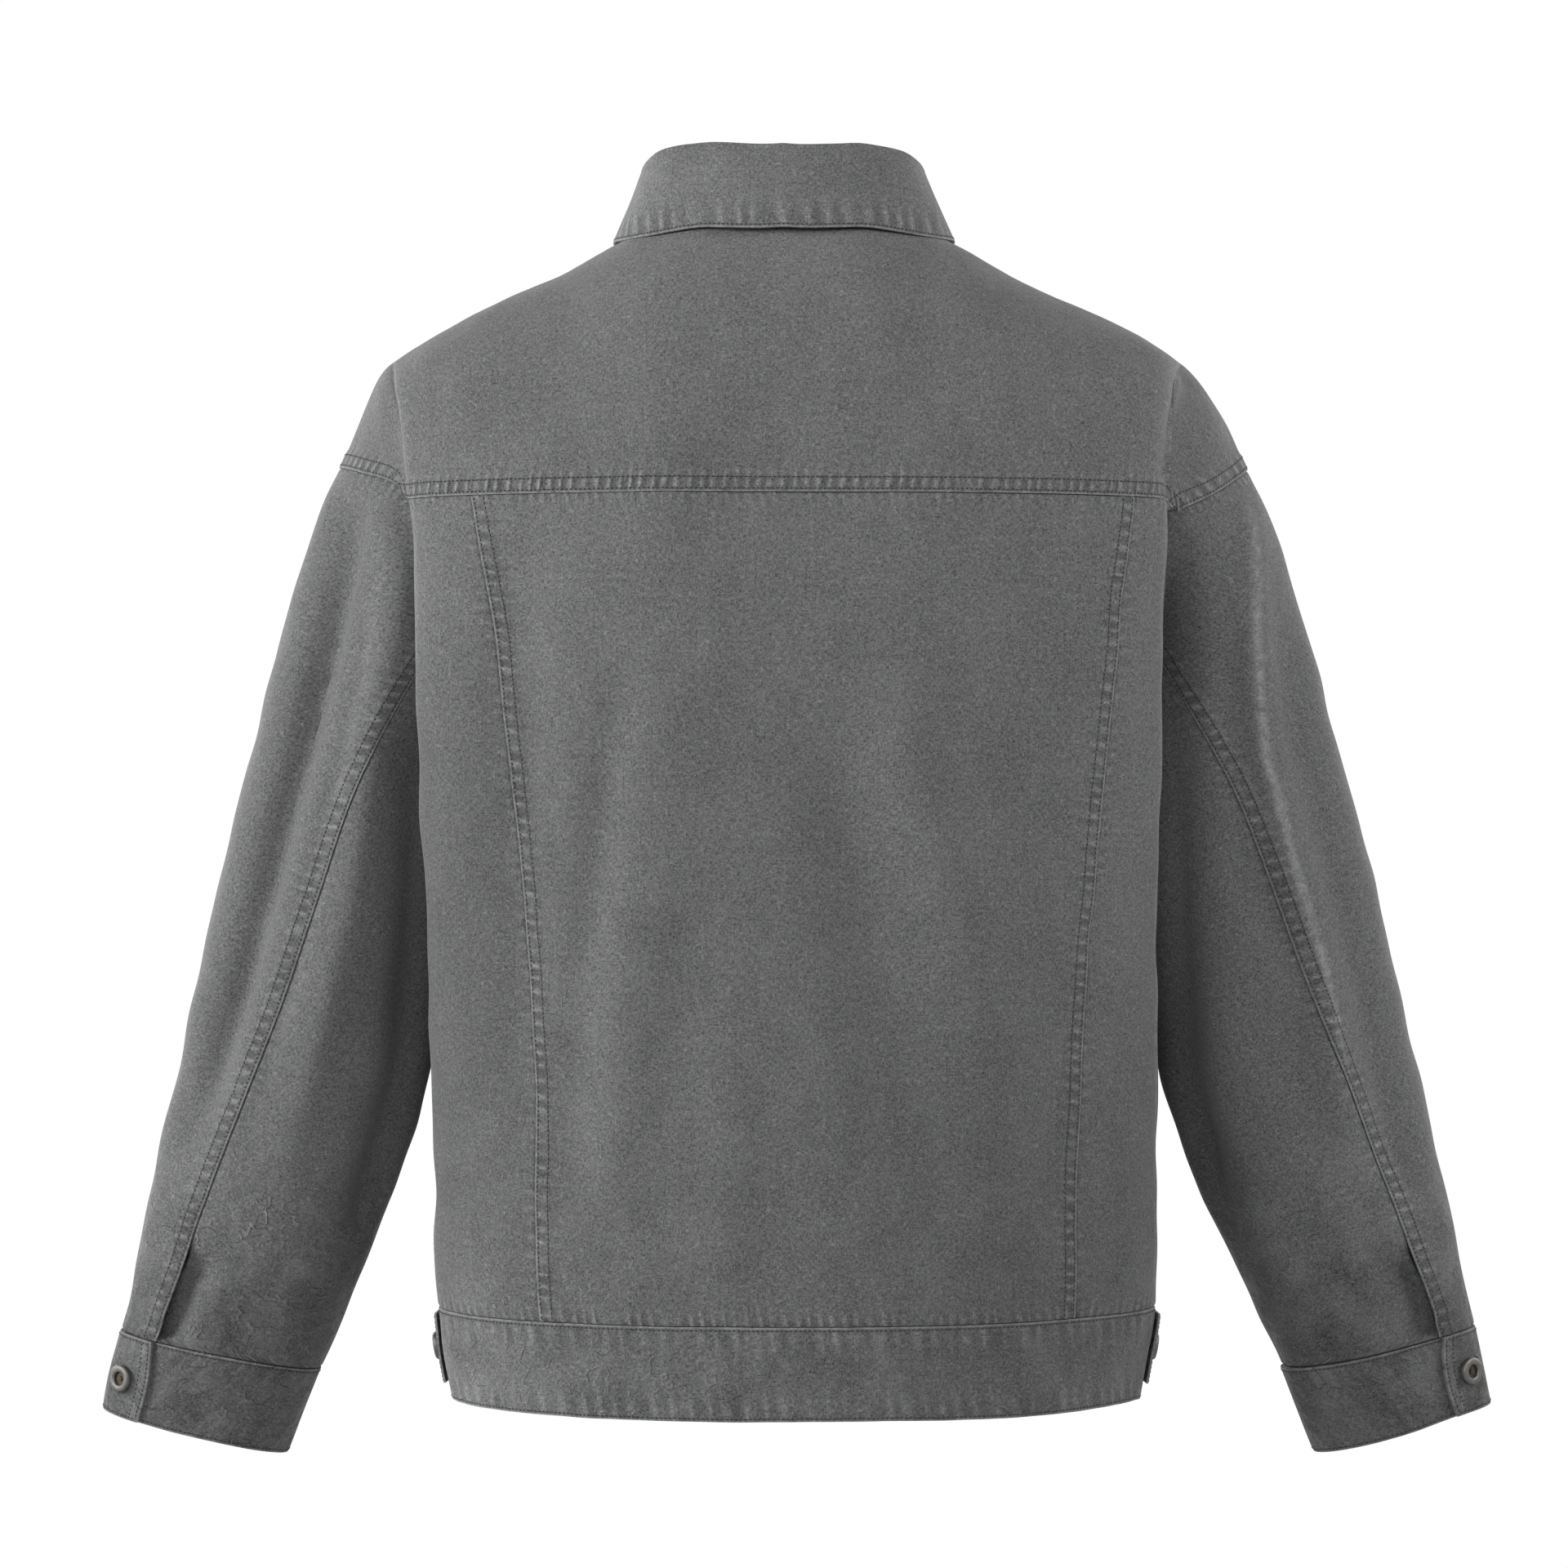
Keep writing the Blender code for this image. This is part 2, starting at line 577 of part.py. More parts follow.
def moved_out(points, distance):
    """A sheet's points moved along its normals, away from the middle of the trunk."""
    normal = unit(np.cross(np.gradient(points, axis=0), np.gradient(points, axis=1)))
    middle = points.mean(axis=(0, 1))
    facing = np.sign(np.sum(normal * (middle * np.array([1.0, 1.0, 0.0])), axis=-1))
    return points + normal * facing[..., None] * np.asarray(distance)[..., None]


def placket_points():
    """The buttonhole strip: the left front's last stretch, moved out."""
    strip = front_points(0.0)[-2:]
    return moved_out(strip, CLOTH + LAYER_GAP)


def tab_points():
    """A strap on the waistband at the side: sewn on in front, its free end behind, standing off a little."""
    top = WAIST_DROP + 0.004
    drops = (top, top + TAB_HEIGHT / 2, top + TAB_HEIGHT)
    grid = np.concatenate([band_side(-1, (0.0, 0.5, 0.95), drops), band_side(1, (0.95, 0.5, 0.0), drops)])
    lift = CLOTH + 0.0006 + 0.0015 * steps(0.0, 1.0, 5) ** 2
    return moved_out(grid, lift[:, None])


# Building

def material(name, colour, roughness, metallic=0.0):
    found = bpy.data.materials.new(name)
    found.use_nodes = True
    shader = found.node_tree.nodes["Principled BSDF"]
    shader.inputs["Base Color"].default_value = (*colour, 1.0)
    shader.inputs["Roughness"].default_value = roughness
    shader.inputs["Metallic"].default_value = metallic
    found.diffuse_color = (*colour, 1.0)
    return found


def hang(points):
    """Let the garment hang slightly out of plumb, with its body and sleeves a little to one side."""
    hung = points.copy()
    drop = -points[..., 2]
    aside = BODY_SWAY + SLEEVE_SWAY * blend(0.19, 0.27, np.abs(points[..., 0]))
    hung[..., 0] -= LEAN * drop + aside * blend(0.02, 0.10, drop)
    return hung


def trim(points, gap):
    """Draw a sheet's four edges in by half a seam gap."""
    grid = points.copy()
    for axis in (0, 1):
        for edge, inner in ((0, 1), (-1, -2)):
            a = np.take(points, edge, axis=axis)
            b = np.take(points, inner, axis=axis)
            shift = unit(b - a) * gap / 2
            if axis == 0:
                grid[edge] += shift
            else:
                grid[:, edge] += shift
    return grid


def sheet(name, points, cloth, finish, side=1, turned=False, gap=SEAM_GAP):
    """A panel: a grid of points given a wall inwards.  side -1 makes the wearer's right one."""
    points = trim(points, gap)
    if side < 0:
        points = points * np.array([-1.0, 1.0, 1.0])
    points = hang(points)
    across, down = points.shape[0] - 1, points.shape[1] - 1
    shape = bmesh.new()
    bmesh.ops.create_grid(shape, x_segments=across, y_segments=down, size=0.5)
    for vertex in shape.verts:
        i = round((vertex.co.x + 0.5) * across)
        j = round((vertex.co.y + 0.5) * down)
        vertex.co = Vector(points[i, j])
    if turned != (side < 0):
        bmesh.ops.reverse_faces(shape, faces=shape.faces)
    return add_object(name, shape, finish, wall=cloth)


def add_object(name, shape, finish, wall=None):
    mesh = bpy.data.meshes.new(name)
    shape.to_mesh(mesh)
    shape.free()
    piece = bpy.data.objects.new(name, mesh)
    mesh.materials.append(finish)
    jacket.objects.link(piece)
    for polygon in mesh.polygons:
        polygon.use_smooth = True
    mesh.set_sharp_from_angle(angle=np.radians(40.0))
    if wall:
        solid = piece.modifiers.new("wall", 'SOLIDIFY')
        solid.thickness = wall
        solid.offset = -1.0
    return piece


def button(name, place, normal, finish):
    """A ring button: a turned disc with a sunk middle, standing on the cloth along its normal."""
    profile = ((0.0, 0.0), (BUTTON_RADIUS * 0.92, 0.0), (BUTTON_RADIUS, BUTTON_HEIGHT * 0.45),
               (BUTTON_RADIUS * 0.80, BUTTON_HEIGHT), (BUTTON_HOLE, BUTTON_HEIGHT * 0.80),
               (BUTTON_HOLE, BUTTON_HEIGHT * 0.40), (0.0, BUTTON_HEIGHT * 0.40))
    shape = bmesh.new()
    ring = [shape.verts.new((radius, 0.0, height)) for radius, height in profile]
    edges = [shape.edges.new(pair) for pair in zip(ring[:-1], ring[1:])]
    bmesh.ops.spin(shape, geom=ring + edges, cent=(0, 0, 0), axis=(0, 0, 1), angle=2 * np.pi, steps=12,
                   use_merge=True)
    bmesh.ops.remove_doubles(shape, verts=shape.verts, dist=1e-5)
    bmesh.ops.recalc_face_normals(shape, faces=shape.faces)
    piece = add_object(name, shape, finish)
    turn = Vector(normal).to_track_quat('Z', 'Y').to_matrix().to_4x4()
    piece.matrix_world = Matrix.Translation(Vector(place)) @ turn
    return piece


def sided(vector, side):
    return vector * np.array([side, 1.0, 1.0])


def build_buttons(metal):
    for i, drop in enumerate(FRONT_BUTTON_DROPS):
        down = front_line(drop + 0.004) - front_line(drop - 0.004)
        ahead = unit(np.cross(down, np.array([1.0, 0.0, 0.0])))
        ahead = ahead * -np.sign(ahead[1])
        strip = np.array([0.0, -(CLOTH + LAYER_GAP), 0.0])
        button(f"front_button_{i + 1}", hang(front_line(drop) + strip + ahead * LAYER_GAP), ahead, metal)
    ahead = unit(np.array([0.0, -1.0, -0.13]))
    place = front_middle(0.0, BAND_BUTTON_DROP) + ahead * LAYER_GAP
    button("band_button", hang(place), ahead, metal)
    for word, side in (("left", 1), ("right", -1)):
        for name, (place, normal) in (("cuff", cuff_button_place()), ("tab", tab_button_place())):
            place = place + normal * LAYER_GAP
            button(f"{name}_button_{word}", hang(sided(place, side)), sided(normal, side), metal)


def front_line(drop):
    """The middle of the front at a drop below the origin."""
    if drop > YOKE_DROP:
        return front_middle(0.0, drop)
    rise = (YOKE_DROP - drop) / (RIDGE.values["front"][0] + YOKE_DROP)
    return over(0.0, 180.0 - np.degrees(np.arcsin(rise)))


def cuff_button_place():
    along = 1.058
    turn = CUFF_BUTTON_TURN
    centre = (sleeve_ring(0.0, along) + sleeve_ring(180.0, along)) / 2
    place = sleeve_ring(turn, along)
    normal = outward(sleeve_ring, turn, along, 0.01)
    normal = normal * np.sign(np.dot(normal, place - centre))
    return place + unit(place - centre) * 0.0005, normal


def tab_button_place():
    grid = tab_points()
    place = (grid[3, 1] + grid[4, 1]) / 2
    normal = unit(np.cross(grid[4, 1] - grid[3, 1], grid[3, 2] - grid[3, 0]))
    return place, normal * np.sign(normal[0])


def build():
    canvas = material("charcoal canvas", (0.105, 0.105, 0.107), 0.92)
    metal = material("pewter", (0.42, 0.41, 0.39), 0.42, 0.9)
    sheet("back_yoke", yoke_points(), CLOTH, canvas, turned=True)
    sheet("back_panel", back_panel_points(), CLOTH, canvas)
    sheet("collar_stand", stand_points(), BAND_CLOTH, canvas, turned=True)
    sheet("collar_fall", fall_points(), CLOTH, canvas)
    sheet("band_back", band_back_points(), BAND_CLOTH, canvas)
    sheet("front_placket", placket_points(), CLOTH, canvas)
    for word, side in (("left", 1), ("right", -1)):
        depth = 0.0 if side > 0 else UNDERLAP_DEPTH
        sheet(f"back_side_{word}", back_side_points(), CLOTH, canvas, side)
        sheet(f"front_{word}", front_points(depth), CLOTH, canvas, side)
        sheet(f"sleeve_upper_{word}", sleeve_upper_points(), CLOTH, canvas, side, turned=True, gap=SLEEVE_GAP)
        sheet(f"sleeve_under_{word}", sleeve_under_points(), CLOTH, canvas, side, turned=True, gap=SLEEVE_GAP)
        sheet(f"cuff_{word}", cuff_points(), BAND_CLOTH, canvas, side, turned=True)
        sheet(f"band_front_{word}", band_front_points(depth * 1.2), BAND_CLOTH, canvas, side)
        sheet(f"waist_tab_{word}", tab_points(), CLOTH, canvas, side, turned=True)
    build_buttons(metal)


for old in list(bpy.data.objects):
    bpy.data.objects.remove(old, do_unlink=True)
jacket = bpy.data.collections.new("canvas_work_jacket")
bpy.context.scene.collection.children.link(jacket)
build()
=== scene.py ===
import bmesh
import bpy
import numpy as np
from mathutils import Matrix, Vector


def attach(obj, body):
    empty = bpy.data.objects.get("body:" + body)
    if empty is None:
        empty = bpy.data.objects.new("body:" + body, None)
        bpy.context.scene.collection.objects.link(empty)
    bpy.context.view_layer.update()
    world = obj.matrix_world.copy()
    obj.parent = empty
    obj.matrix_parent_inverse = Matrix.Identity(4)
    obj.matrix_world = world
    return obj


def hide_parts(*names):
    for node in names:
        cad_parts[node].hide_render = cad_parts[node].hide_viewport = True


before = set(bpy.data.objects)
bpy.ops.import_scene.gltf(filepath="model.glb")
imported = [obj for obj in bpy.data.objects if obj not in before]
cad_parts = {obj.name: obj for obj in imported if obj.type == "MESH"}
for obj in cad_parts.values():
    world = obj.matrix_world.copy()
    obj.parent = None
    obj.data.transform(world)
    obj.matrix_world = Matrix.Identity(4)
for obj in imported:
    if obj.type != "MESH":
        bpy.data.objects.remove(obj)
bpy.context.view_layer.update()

# Cloth, metres
CLOTH = 0.0012
BAND_CLOTH = 0.0024      # the bands, cuffs and collar stand are doubled
SEAM_GAP = 0.0004
SLEEVE_GAP = 0.0008
LAYER_GAP = 0.0005       # between a piece and the cloth it lies on
LEAN = 0.0080            # the whole garment hangs this far out of plumb, metres sideways a metre down
BODY_SWAY = 0.0015       # below the neck the body lies this far to the wearer's right
SLEEVE_SWAY = 0.0028     # and the sleeves this much further
SWAY_DROPS = (0.02, 0.10)        # drops between which the sway comes in
SLEEVE_SWAY_XS = (0.19, 0.27)    # how far out the sleeves' own part of it comes in
UNEVEN_EASE = 0.010      # run over which an uneven place comes in, going out from the middle
BEHIND = (-0.02, 0.02)   # from in front to behind, for a place that is uneven only behind

# Levels, metres below the origin
YOKE_DROP = 0.1415
WAIST_DROP = 0.5985
HEM_DROP = 0.6515

# Shoulders and neck
RIDGE_Y = -0.004         # where the top of the shoulder runs
RIDGE_END_X = 0.2255     # outer end of the ridge, where the side folds start
BOW_SQUARE = 2.4         # how square the level sections are
BOW_ROUND = 0.6
BACK_RISE = 0.9          # how the back yoke rises to the ridge, and how its depth runs in to it
BACK_RUN = 0.8
FRONT_RUN = 1.3          # the same for the front's depth
SHOULDER_ARCH = 108.0    # degrees over the shoulder at which the yoke meets the fronts
SHOULDER_TURN = 60.0     # the armhole's turn at the yoke seam
SHOULDER_JOIN = (84.0, 112.0)    # arches between which the back's form goes over to the front's
YOKE_EASE = 1.2          # how late the yoke's columns turn towards the neck
NECK_WIDTH = 20.2        # neck opening, degrees out from the centre line
NECK_BACK = 29.0         # and degrees of arch behind and in front of the ridge
NECK_FRONT = 46.0
COLLAR_WIDTH = 25.4      # the collar's lower edge, measured the same way
COLLAR_BACK = 37.5
COLLAR_FRONT = 60.0
COLLAR_POINT = 9.0       # extra arch at the collar points
POINT_TURNS = (120.0, 152.0)     # turns between which it comes in
COLLAR_PULL = 0.085      # share by which the edge falls short of the neck's turn in front
PULL_TURNS = (135.0, 172.0)
COLLAR_ROLL = 0.0022     # radius of the collar's top fold
COLLAR_BULGE = 0.0025    # how far the fall bows out between its fold and its edge
BULGE_TURNS = (45.0, 80.0)       # and the turns between which that bow turns in
BULGE_LOSS = 1.2
COLLAR_DIP = 0.0022      # how far the collar's edge bows down at either side of its middle
DIP_TURNS = (5.0, 45.0)
DIP_END_TURNS = (60.0, 95.0)
MIDDLE_DIP = 0.3         # share of it that the whole back edge takes
FALL_LIFT = 0.0003       # the fall clears the stand's top by this much
STAND_LIFT = 0.0002      # the stand's foot above the neck seam, and inside it
STAND_INSET = 0.0005
STAND_SHORT = 0.0006     # its top edge below the fold
NECK_CORNER = 113.0      # turn round the neck at which the shoulder seam starts

# Fastening
OVERLAP = 0.018          # each front runs this far past the centre line
OVERLAP_TURN = 13.3      # the same at the neck, degrees of turn round it
UNDERLAP_DEPTH = 0.0030  # and the right one lies this far inside the left one
BUTTON_RADIUS = 0.0078
BUTTON_HEIGHT = 0.0032
BUTTON_HOLE = 0.0036
FRONT_BUTTON_DROPS = (0.085, 0.200, 0.315, 0.430, 0.545)
BAND_BUTTON_DROP = 0.6245
FRONT_SPREAD = 60.0      # spread at the yoke's level below the neck corner
FRONT_TUCK_XS = (0.020, 0.045)   # how far out the right front's tuck under the left one dies out
BAND_TUCK_XS = (0.022, 0.050)    # the same for the band, which is doubled and tucks further
BAND_TUCK = 1.2
CUFF_DEEP = 0.11         # a cuff's run along the sleeve, as a share of the sleeve's
CUFF_TOP = 1.0005
CUFF_FOOT = 1.110
CUFF_END_TURN = 54.0     # where a cuff's buttoned end lies, degrees behind the outer line
CUFF_END_BOW = 4.0       # degrees by which that end bows out between its corners
CUFF_END_LEAN = 5.0      # and by which its lower corner lies further round
CUFF_END_RUN = 40.0      # degrees of cuff beside the end that follow it
CUFF_BUTTON_TURN = 39.0
CUFF_BUTTON_ALONG = 1.058
CUFF_UNDERLAP_TURN = 24.0
CUFF_UNDER_RUN = (28.0, 62.0)    # degrees past its start over which the underlap comes out
CUFF_STAND_OFF = 0.0005
CUFF_UNDER_GAP = 0.0008
SLIT_TUCK = 0.045        # share of the under sleeve that runs on under the upper one above the cuff
SLIT_START = (0.87, 0.93)        # places along the sleeve between which the slit opens
SLIT_END = (0.990, 1.0)          # and closes
BAND_TOP = WAIST_DROP + 0.0002
TAB_HEIGHT = 0.040
TAB_DROP = WAIST_DROP + 0.004
TAB_JOIN = 0.95          # where a tab goes round the side seam, and the run it takes to do so
TAB_JOIN_RUN = 0.10
TAB_BUTTON_ACROSS = 1.15
TAB_BUTTON_REACH = 0.10  # half the span that its lie is measured over, as shares of the tab
TAB_LIFT = 0.0018        # the tab's outer face above the form it is drawn on

# Side folds: the ways the cloth leaves the crease and meets the armhole or side seam, for the back
LEAVE_YOKE = np.array([-0.10, -0.95, 0.0])      # at the yoke seam
LEAVE_CHEST = np.array([-0.75, -0.65, 0.0])     # under the sleeve, where the fold turns back in
LEAVE_WAIST = np.array([0.03, -1.0, 0.0])       # below the armhole
LEAVE_SHOULDER = np.array([0.861, 0.0, -0.508])
REACH_SIDE = np.array([0.0, -1.0, 0.0])
REACH_SHOULDER = np.array([0.43, 0.0, -0.90])
FOLD_FULLNESS = 0.8

FOLD_UNDER = (0.145, 0.185)      # drops between which the fold starts to turn back in under the sleeve
FOLD_SIDE_ON = (0.285, 0.320)    # between which it goes over from the armhole to the side seam
FOLD_FREE = (0.39, 0.47)         # and between which it opens out again below the armhole
BACK_TURN = 0.0085       # how far the long seams of the back sit towards the wearer's right
HIDDEN_TUCK = 0.0016     # the side back stops this far below the yoke inside the fold, clear of its wall
HIDDEN_TUCK_RUN = 0.012
SLEEVE_HEAD = 0.30       # the sleeve takes its armhole's shape in over this part of its length
RING_SQUARE = 0.92       # how square the sleeve's rings are
TINY = 1e-6              # keeps an arch off the yoke seam itself
ARMHOLE_STEPS = 241      # points that a drop is looked up by round the armhole
RUN_STEPS = 1601         # and that a run is measured by


class Table:
    """A short table with named columns, read smoothly between its rows by the first column."""

    def __init__(self, columns, *rows):
        names = columns.split()
        data = np.array(rows, dtype=float)
        self.key = data[:, 0]
        self.values = {name: data[:, place] for place, name in enumerate(names)}
        self.slopes = {name: self.slope(self.values[name]) for name in names}

    def slope(self, values):
        run = np.diff(self.key)
        rate = np.diff(values) / run
        slopes = np.empty_like(values)
        slopes[0] = rate[0]
        slopes[-1] = rate[-1]
        for i in range(1, len(values) - 1):
            before, after = rate[i - 1], rate[i]
            slopes[i] = 0.0 if before * after <= 0 else 2 * before * after / (before + after)
        return slopes

    def read(self, name, key):
        key = np.asarray(key, dtype=float)
        i = np.clip(np.searchsorted(self.key, key) - 1, 0, len(self.key) - 2)
        run = self.key[i + 1] - self.key[i]
        t = np.clip((key - self.key[i]) / run, 0.0, 1.0)
        values, slopes = self.values[name], self.slopes[name]
        start = values[i] * (1 + 2 * t) * (1 - t) ** 2 + values[i + 1] * t * t * (3 - 2 * t)
        return start + run * (slopes[i] * t * (1 - t) ** 2 - slopes[i + 1] * t * t * (1 - t))


# The trunk's level sections.  The creases are where the back and the fronts fold in beside the sleeves.
BACK = Table("drop      middle  crease_x crease_y",
             (0.1415,   0.127,  0.2120,  0.062),
             (0.2000,   0.132,  0.2094,  0.066),
             (0.2600,   0.134,  0.2083,  0.062),
             (0.3200,   0.133,  0.2068,  0.053),
             (0.4000,   0.130,  0.2052,  0.038),
             (0.4700,   0.127,  0.2058,  0.028),
             (0.5500,   0.124,  0.2059,  0.022),
             (0.5985,   0.121,  0.2036,  0.020),
             (0.6515,   0.114,  0.1960,  0.018))
FRONT = Table("drop     middle  crease_x crease_y",
              (0.1415,  -0.128, 0.1960,  -0.076),
              (0.2000,  -0.135, 0.1945,  -0.084),
              (0.2600,  -0.137, 0.1925,  -0.084),
              (0.3200,  -0.135, 0.1915,  -0.076),
              (0.4000,  -0.131, 0.1925,  -0.062),
              (0.4700,  -0.128, 0.1960,  -0.050),
              (0.5500,  -0.126, 0.1985,  -0.044),
              (0.5985,  -0.123, 0.1970,  -0.042),
              (0.6515,  -0.117, 0.1905,  -0.040))
SIDE = Table("drop     x       y",
             (0.2920,  0.1585, -0.010),
             (0.3400,  0.1600, -0.009),
             (0.3900,  0.1710, -0.006),
             (0.4400,  0.1910, -0.003),
             (0.4800,  0.2040, -0.001),
             (0.5500,  0.2055, 0.000),
             (0.5985,  0.2036, 0.000),
             (0.6515,  0.1955, 0.000))
# Long back seams: how far out they lie.
PRINCESS = Table("drop    x",
                 (0.1415, 0.1837),
                 (0.2050, 0.1740),
                 (0.2740, 0.1670),
                 (0.3650, 0.1578),
                 (0.4600, 0.1530),
                 (0.5985, 0.1490))
# Height of the shoulder ridge above the origin, out from the centre; under the neck it carries on.
RIDGE = Table("x        back     front",
              (0.0000,  0.0389,  0.0050),
              (0.0400,  0.0340,  0.0100),
              (0.0780,  0.0165,  0.0150),
              (0.1020,  0.0041,  0.0041),
              (0.1526, -0.0203,  -0.0203),
              (0.1910, -0.0390,  -0.0390),
              (0.2255, -0.0597,  -0.0597))
# The armhole seam: 0 at the top, 180 under the arm, positive behind.
ARMHOLE = Table("turn    x       y       z",
                (-180.0, 0.1585, -0.010, -0.2920),
                (-140.0, 0.1660, -0.047, -0.2560),
                (-105.0, 0.1745, -0.068, -0.2080),
                (-80.0,  0.1870, -0.073, -0.1660),
                (-60.0,  0.2030, -0.069, -0.1415),
                (-30.0,  0.2400, -0.042, -0.1285),
                (0.0,    0.2610, -0.004, -0.1196),
                (30.0,   0.2420, 0.032,  -0.1290),
                (60.0,   0.2155, 0.050,  -0.1415),
                (80.0,   0.2010, 0.051,  -0.1620),
                (105.0,  0.1870, 0.043,  -0.2000),
                (140.0,  0.1710, 0.021,  -0.2550),
                (180.0,  0.1585, -0.010, -0.2920))
# Sleeve rings: the ends of each ring's wide axis on the outer and inner lines, its middle and half depth.
SLEEVE = Table("along   outer_x outer_z  inner_x inner_z  middle  depth",
               (0.000,  0.2610, -0.1196, 0.1585, -0.2920, -0.008, 0.0560),
               (0.059,  0.2751, -0.1506, 0.1680, -0.3080, -0.011, 0.0540),
               (0.125,  0.2879, -0.1883, 0.1760, -0.3260, -0.014, 0.0540),
               (0.225,  0.3041, -0.2449, 0.1860, -0.3560, -0.016, 0.0550),
               (0.330,  0.3190, -0.3015, 0.1950, -0.3880, -0.018, 0.0555),
               (0.442,  0.3330, -0.3581, 0.2040, -0.4270, -0.020, 0.0555),
               (0.562,  0.3467, -0.4149, 0.2125, -0.4740, -0.022, 0.0535),
               (0.684,  0.3600, -0.4720, 0.2270, -0.5200, -0.025, 0.0500),
               (0.798,  0.3730, -0.5285, 0.2450, -0.5640, -0.028, 0.0460),
               (0.917,  0.3850, -0.5840, 0.2629, -0.6044, -0.032, 0.0400),
               (1.000,  0.3918, -0.6178, 0.2791, -0.6405, -0.034, 0.0350),
               (1.110,  0.4015, -0.6640, 0.2990, -0.6900, -0.037, 0.0310))
# The sleeve's two seams, degrees round from the outer line.
SLEEVE_SEAM = Table("along elbow  front",
                    (0.00, 106.0, -132.0),
                    (0.20, 90.5,  -127.0),
                    (0.45, 82.0,  -122.0),
                    (0.65, 72.0,  -118.0),
                    (0.86, 61.0,  -116.0),
                    (1.00, 56.0,  -116.0))
# Collar: its stand's height and how far its fold leans out, round from the middle of the back.
COLLAR = Table("turn    height  lean    stand_off",
               (0.0,    0.0362, -0.009, 0.0050),
               (40.0,   0.0364, -0.006, 0.0045),
               (58.0,   0.0368, -0.003, 0.0035),
               (74.0,   0.0335, -0.001,  0.0033),
               (92.0,   0.0290, 0.000,  0.0030),
               (120.0,  0.0260, 0.004,  0.0050),
               (150.0,  0.0260, 0.005,  0.0060),
               (180.0,  0.0240, 0.005,  0.0060))

# Where the two sides hang differently: how far out from the middle it starts, whether only behind,
# x and z of the middle of the place, its reach, and how far it goes to the wearer's left and up
UNEVEN = (
    (0.207, 1, 0.216, -0.138, 0.034, 0.0, 0.0062),        # left armhole behind
    (0.2125, 1, -0.230, -0.144, 0.038, 0.0, -0.0080),     # right armhole behind
    (0.0, 0, 0.125, -0.020, 0.035, 0.0, -0.0045),         # left shoulder beside the neck
    (0.0, 0, -0.145, -0.028, 0.045, 0.0, -0.0026),        # right shoulder
    (0.0, 0, -0.160, -0.650, 0.050, 0.0, -0.0010),        # right end of the hem
    (0.0, 0, 0.376, -0.650, 0.040, 0.0052, 0.0),          # left cuff's outer corner
    (0.0, 0, -0.390, -0.650, 0.040, 0.0, 0.0044),         # right cuff's outer corner
)

# Sewing, metres
LAP_WIDTH = 0.0088
LAP_EASE = 0.0025        # run over which the lap's thickness dies out
LAP_RISE = 0.0007
LAP_OVER = 0.0005        # how far a lapped edge runs on over its neighbour
EDGE_ROLL = 0.00022      # how far an edge rolls in, and over what run
EDGE_ROLL_RUN = 0.0011
UNDER_DIP = 0.0007       # how far a piece dips where it goes under another, and over what run
UNDER_DIP_RUN = 0.0020
EDGE_MOST = 0.6          # an edge moves at most this share of its first row's run
FAR_FROM_SEWING = 0.05
PIECE_SHIFT = np.array([0.731, 0.417])   # each piece is cut from its own part of the cloth
SHARP_ANGLE = 50.0       # degrees between faces above which an edge looks sharp
STITCH_PITCH = 0.0026
STITCH_START = 0.0015
STITCH_LENGTH = 0.0017
STITCH_WIDTH = 0.00085
STITCH_RISE = 0.00032
STITCH_ROWS = {"l": (0.0017, 0.0080), "t": (0.0018,), "d": (0.0018, 0.0062)}
PITCH = {"back_panel": 0.0040, "back_yoke": 0.0042, "collar_fall": 0.0024, "collar_stand": 0.0040,
         "front_left": 0.0058, "front_right": 0.0058, "waist_tab_left": 0.0020, "waist_tab_right": 0.0020,
         "other": 0.0045}        # how far apart a piece's rows of points lie, away from its edges
# The slit above a cuff: the upper sleeve's edge stands off over it and the under sleeve falls in beside it
SLIT_LIFT = 0.0026
SLIT_LIFT_START = (0.86, 0.93)
SLIT_LIFT_END = (0.955, 0.985)
SLIT_LIFT_RUN = 0.022
SLIT_SINK = 0.0070
SLIT_SINK_START = (0.845, 0.905)
SLIT_SINK_END = (0.985, 1.0)
SLIT_SINK_RUN = (0.006, 0.034)
TAB_STAND_OFF = 0.0006   # the tab's sewn end stands off this far, and its free end this much more
TAB_SPRING = 0.0015
# The slight waviness that canvas keeps everywhere after washing: size and height of each kind of wave
WAVES = ((0.110, 0.00055), (0.062, 0.00034), (0.034, 0.00016), (0.021, 0.00008))
WAVES_OF_A_KIND = 5
WAVE_SEED = 7
WAVE_CROWD = 1.6         # what their heights are divided by, because they add up

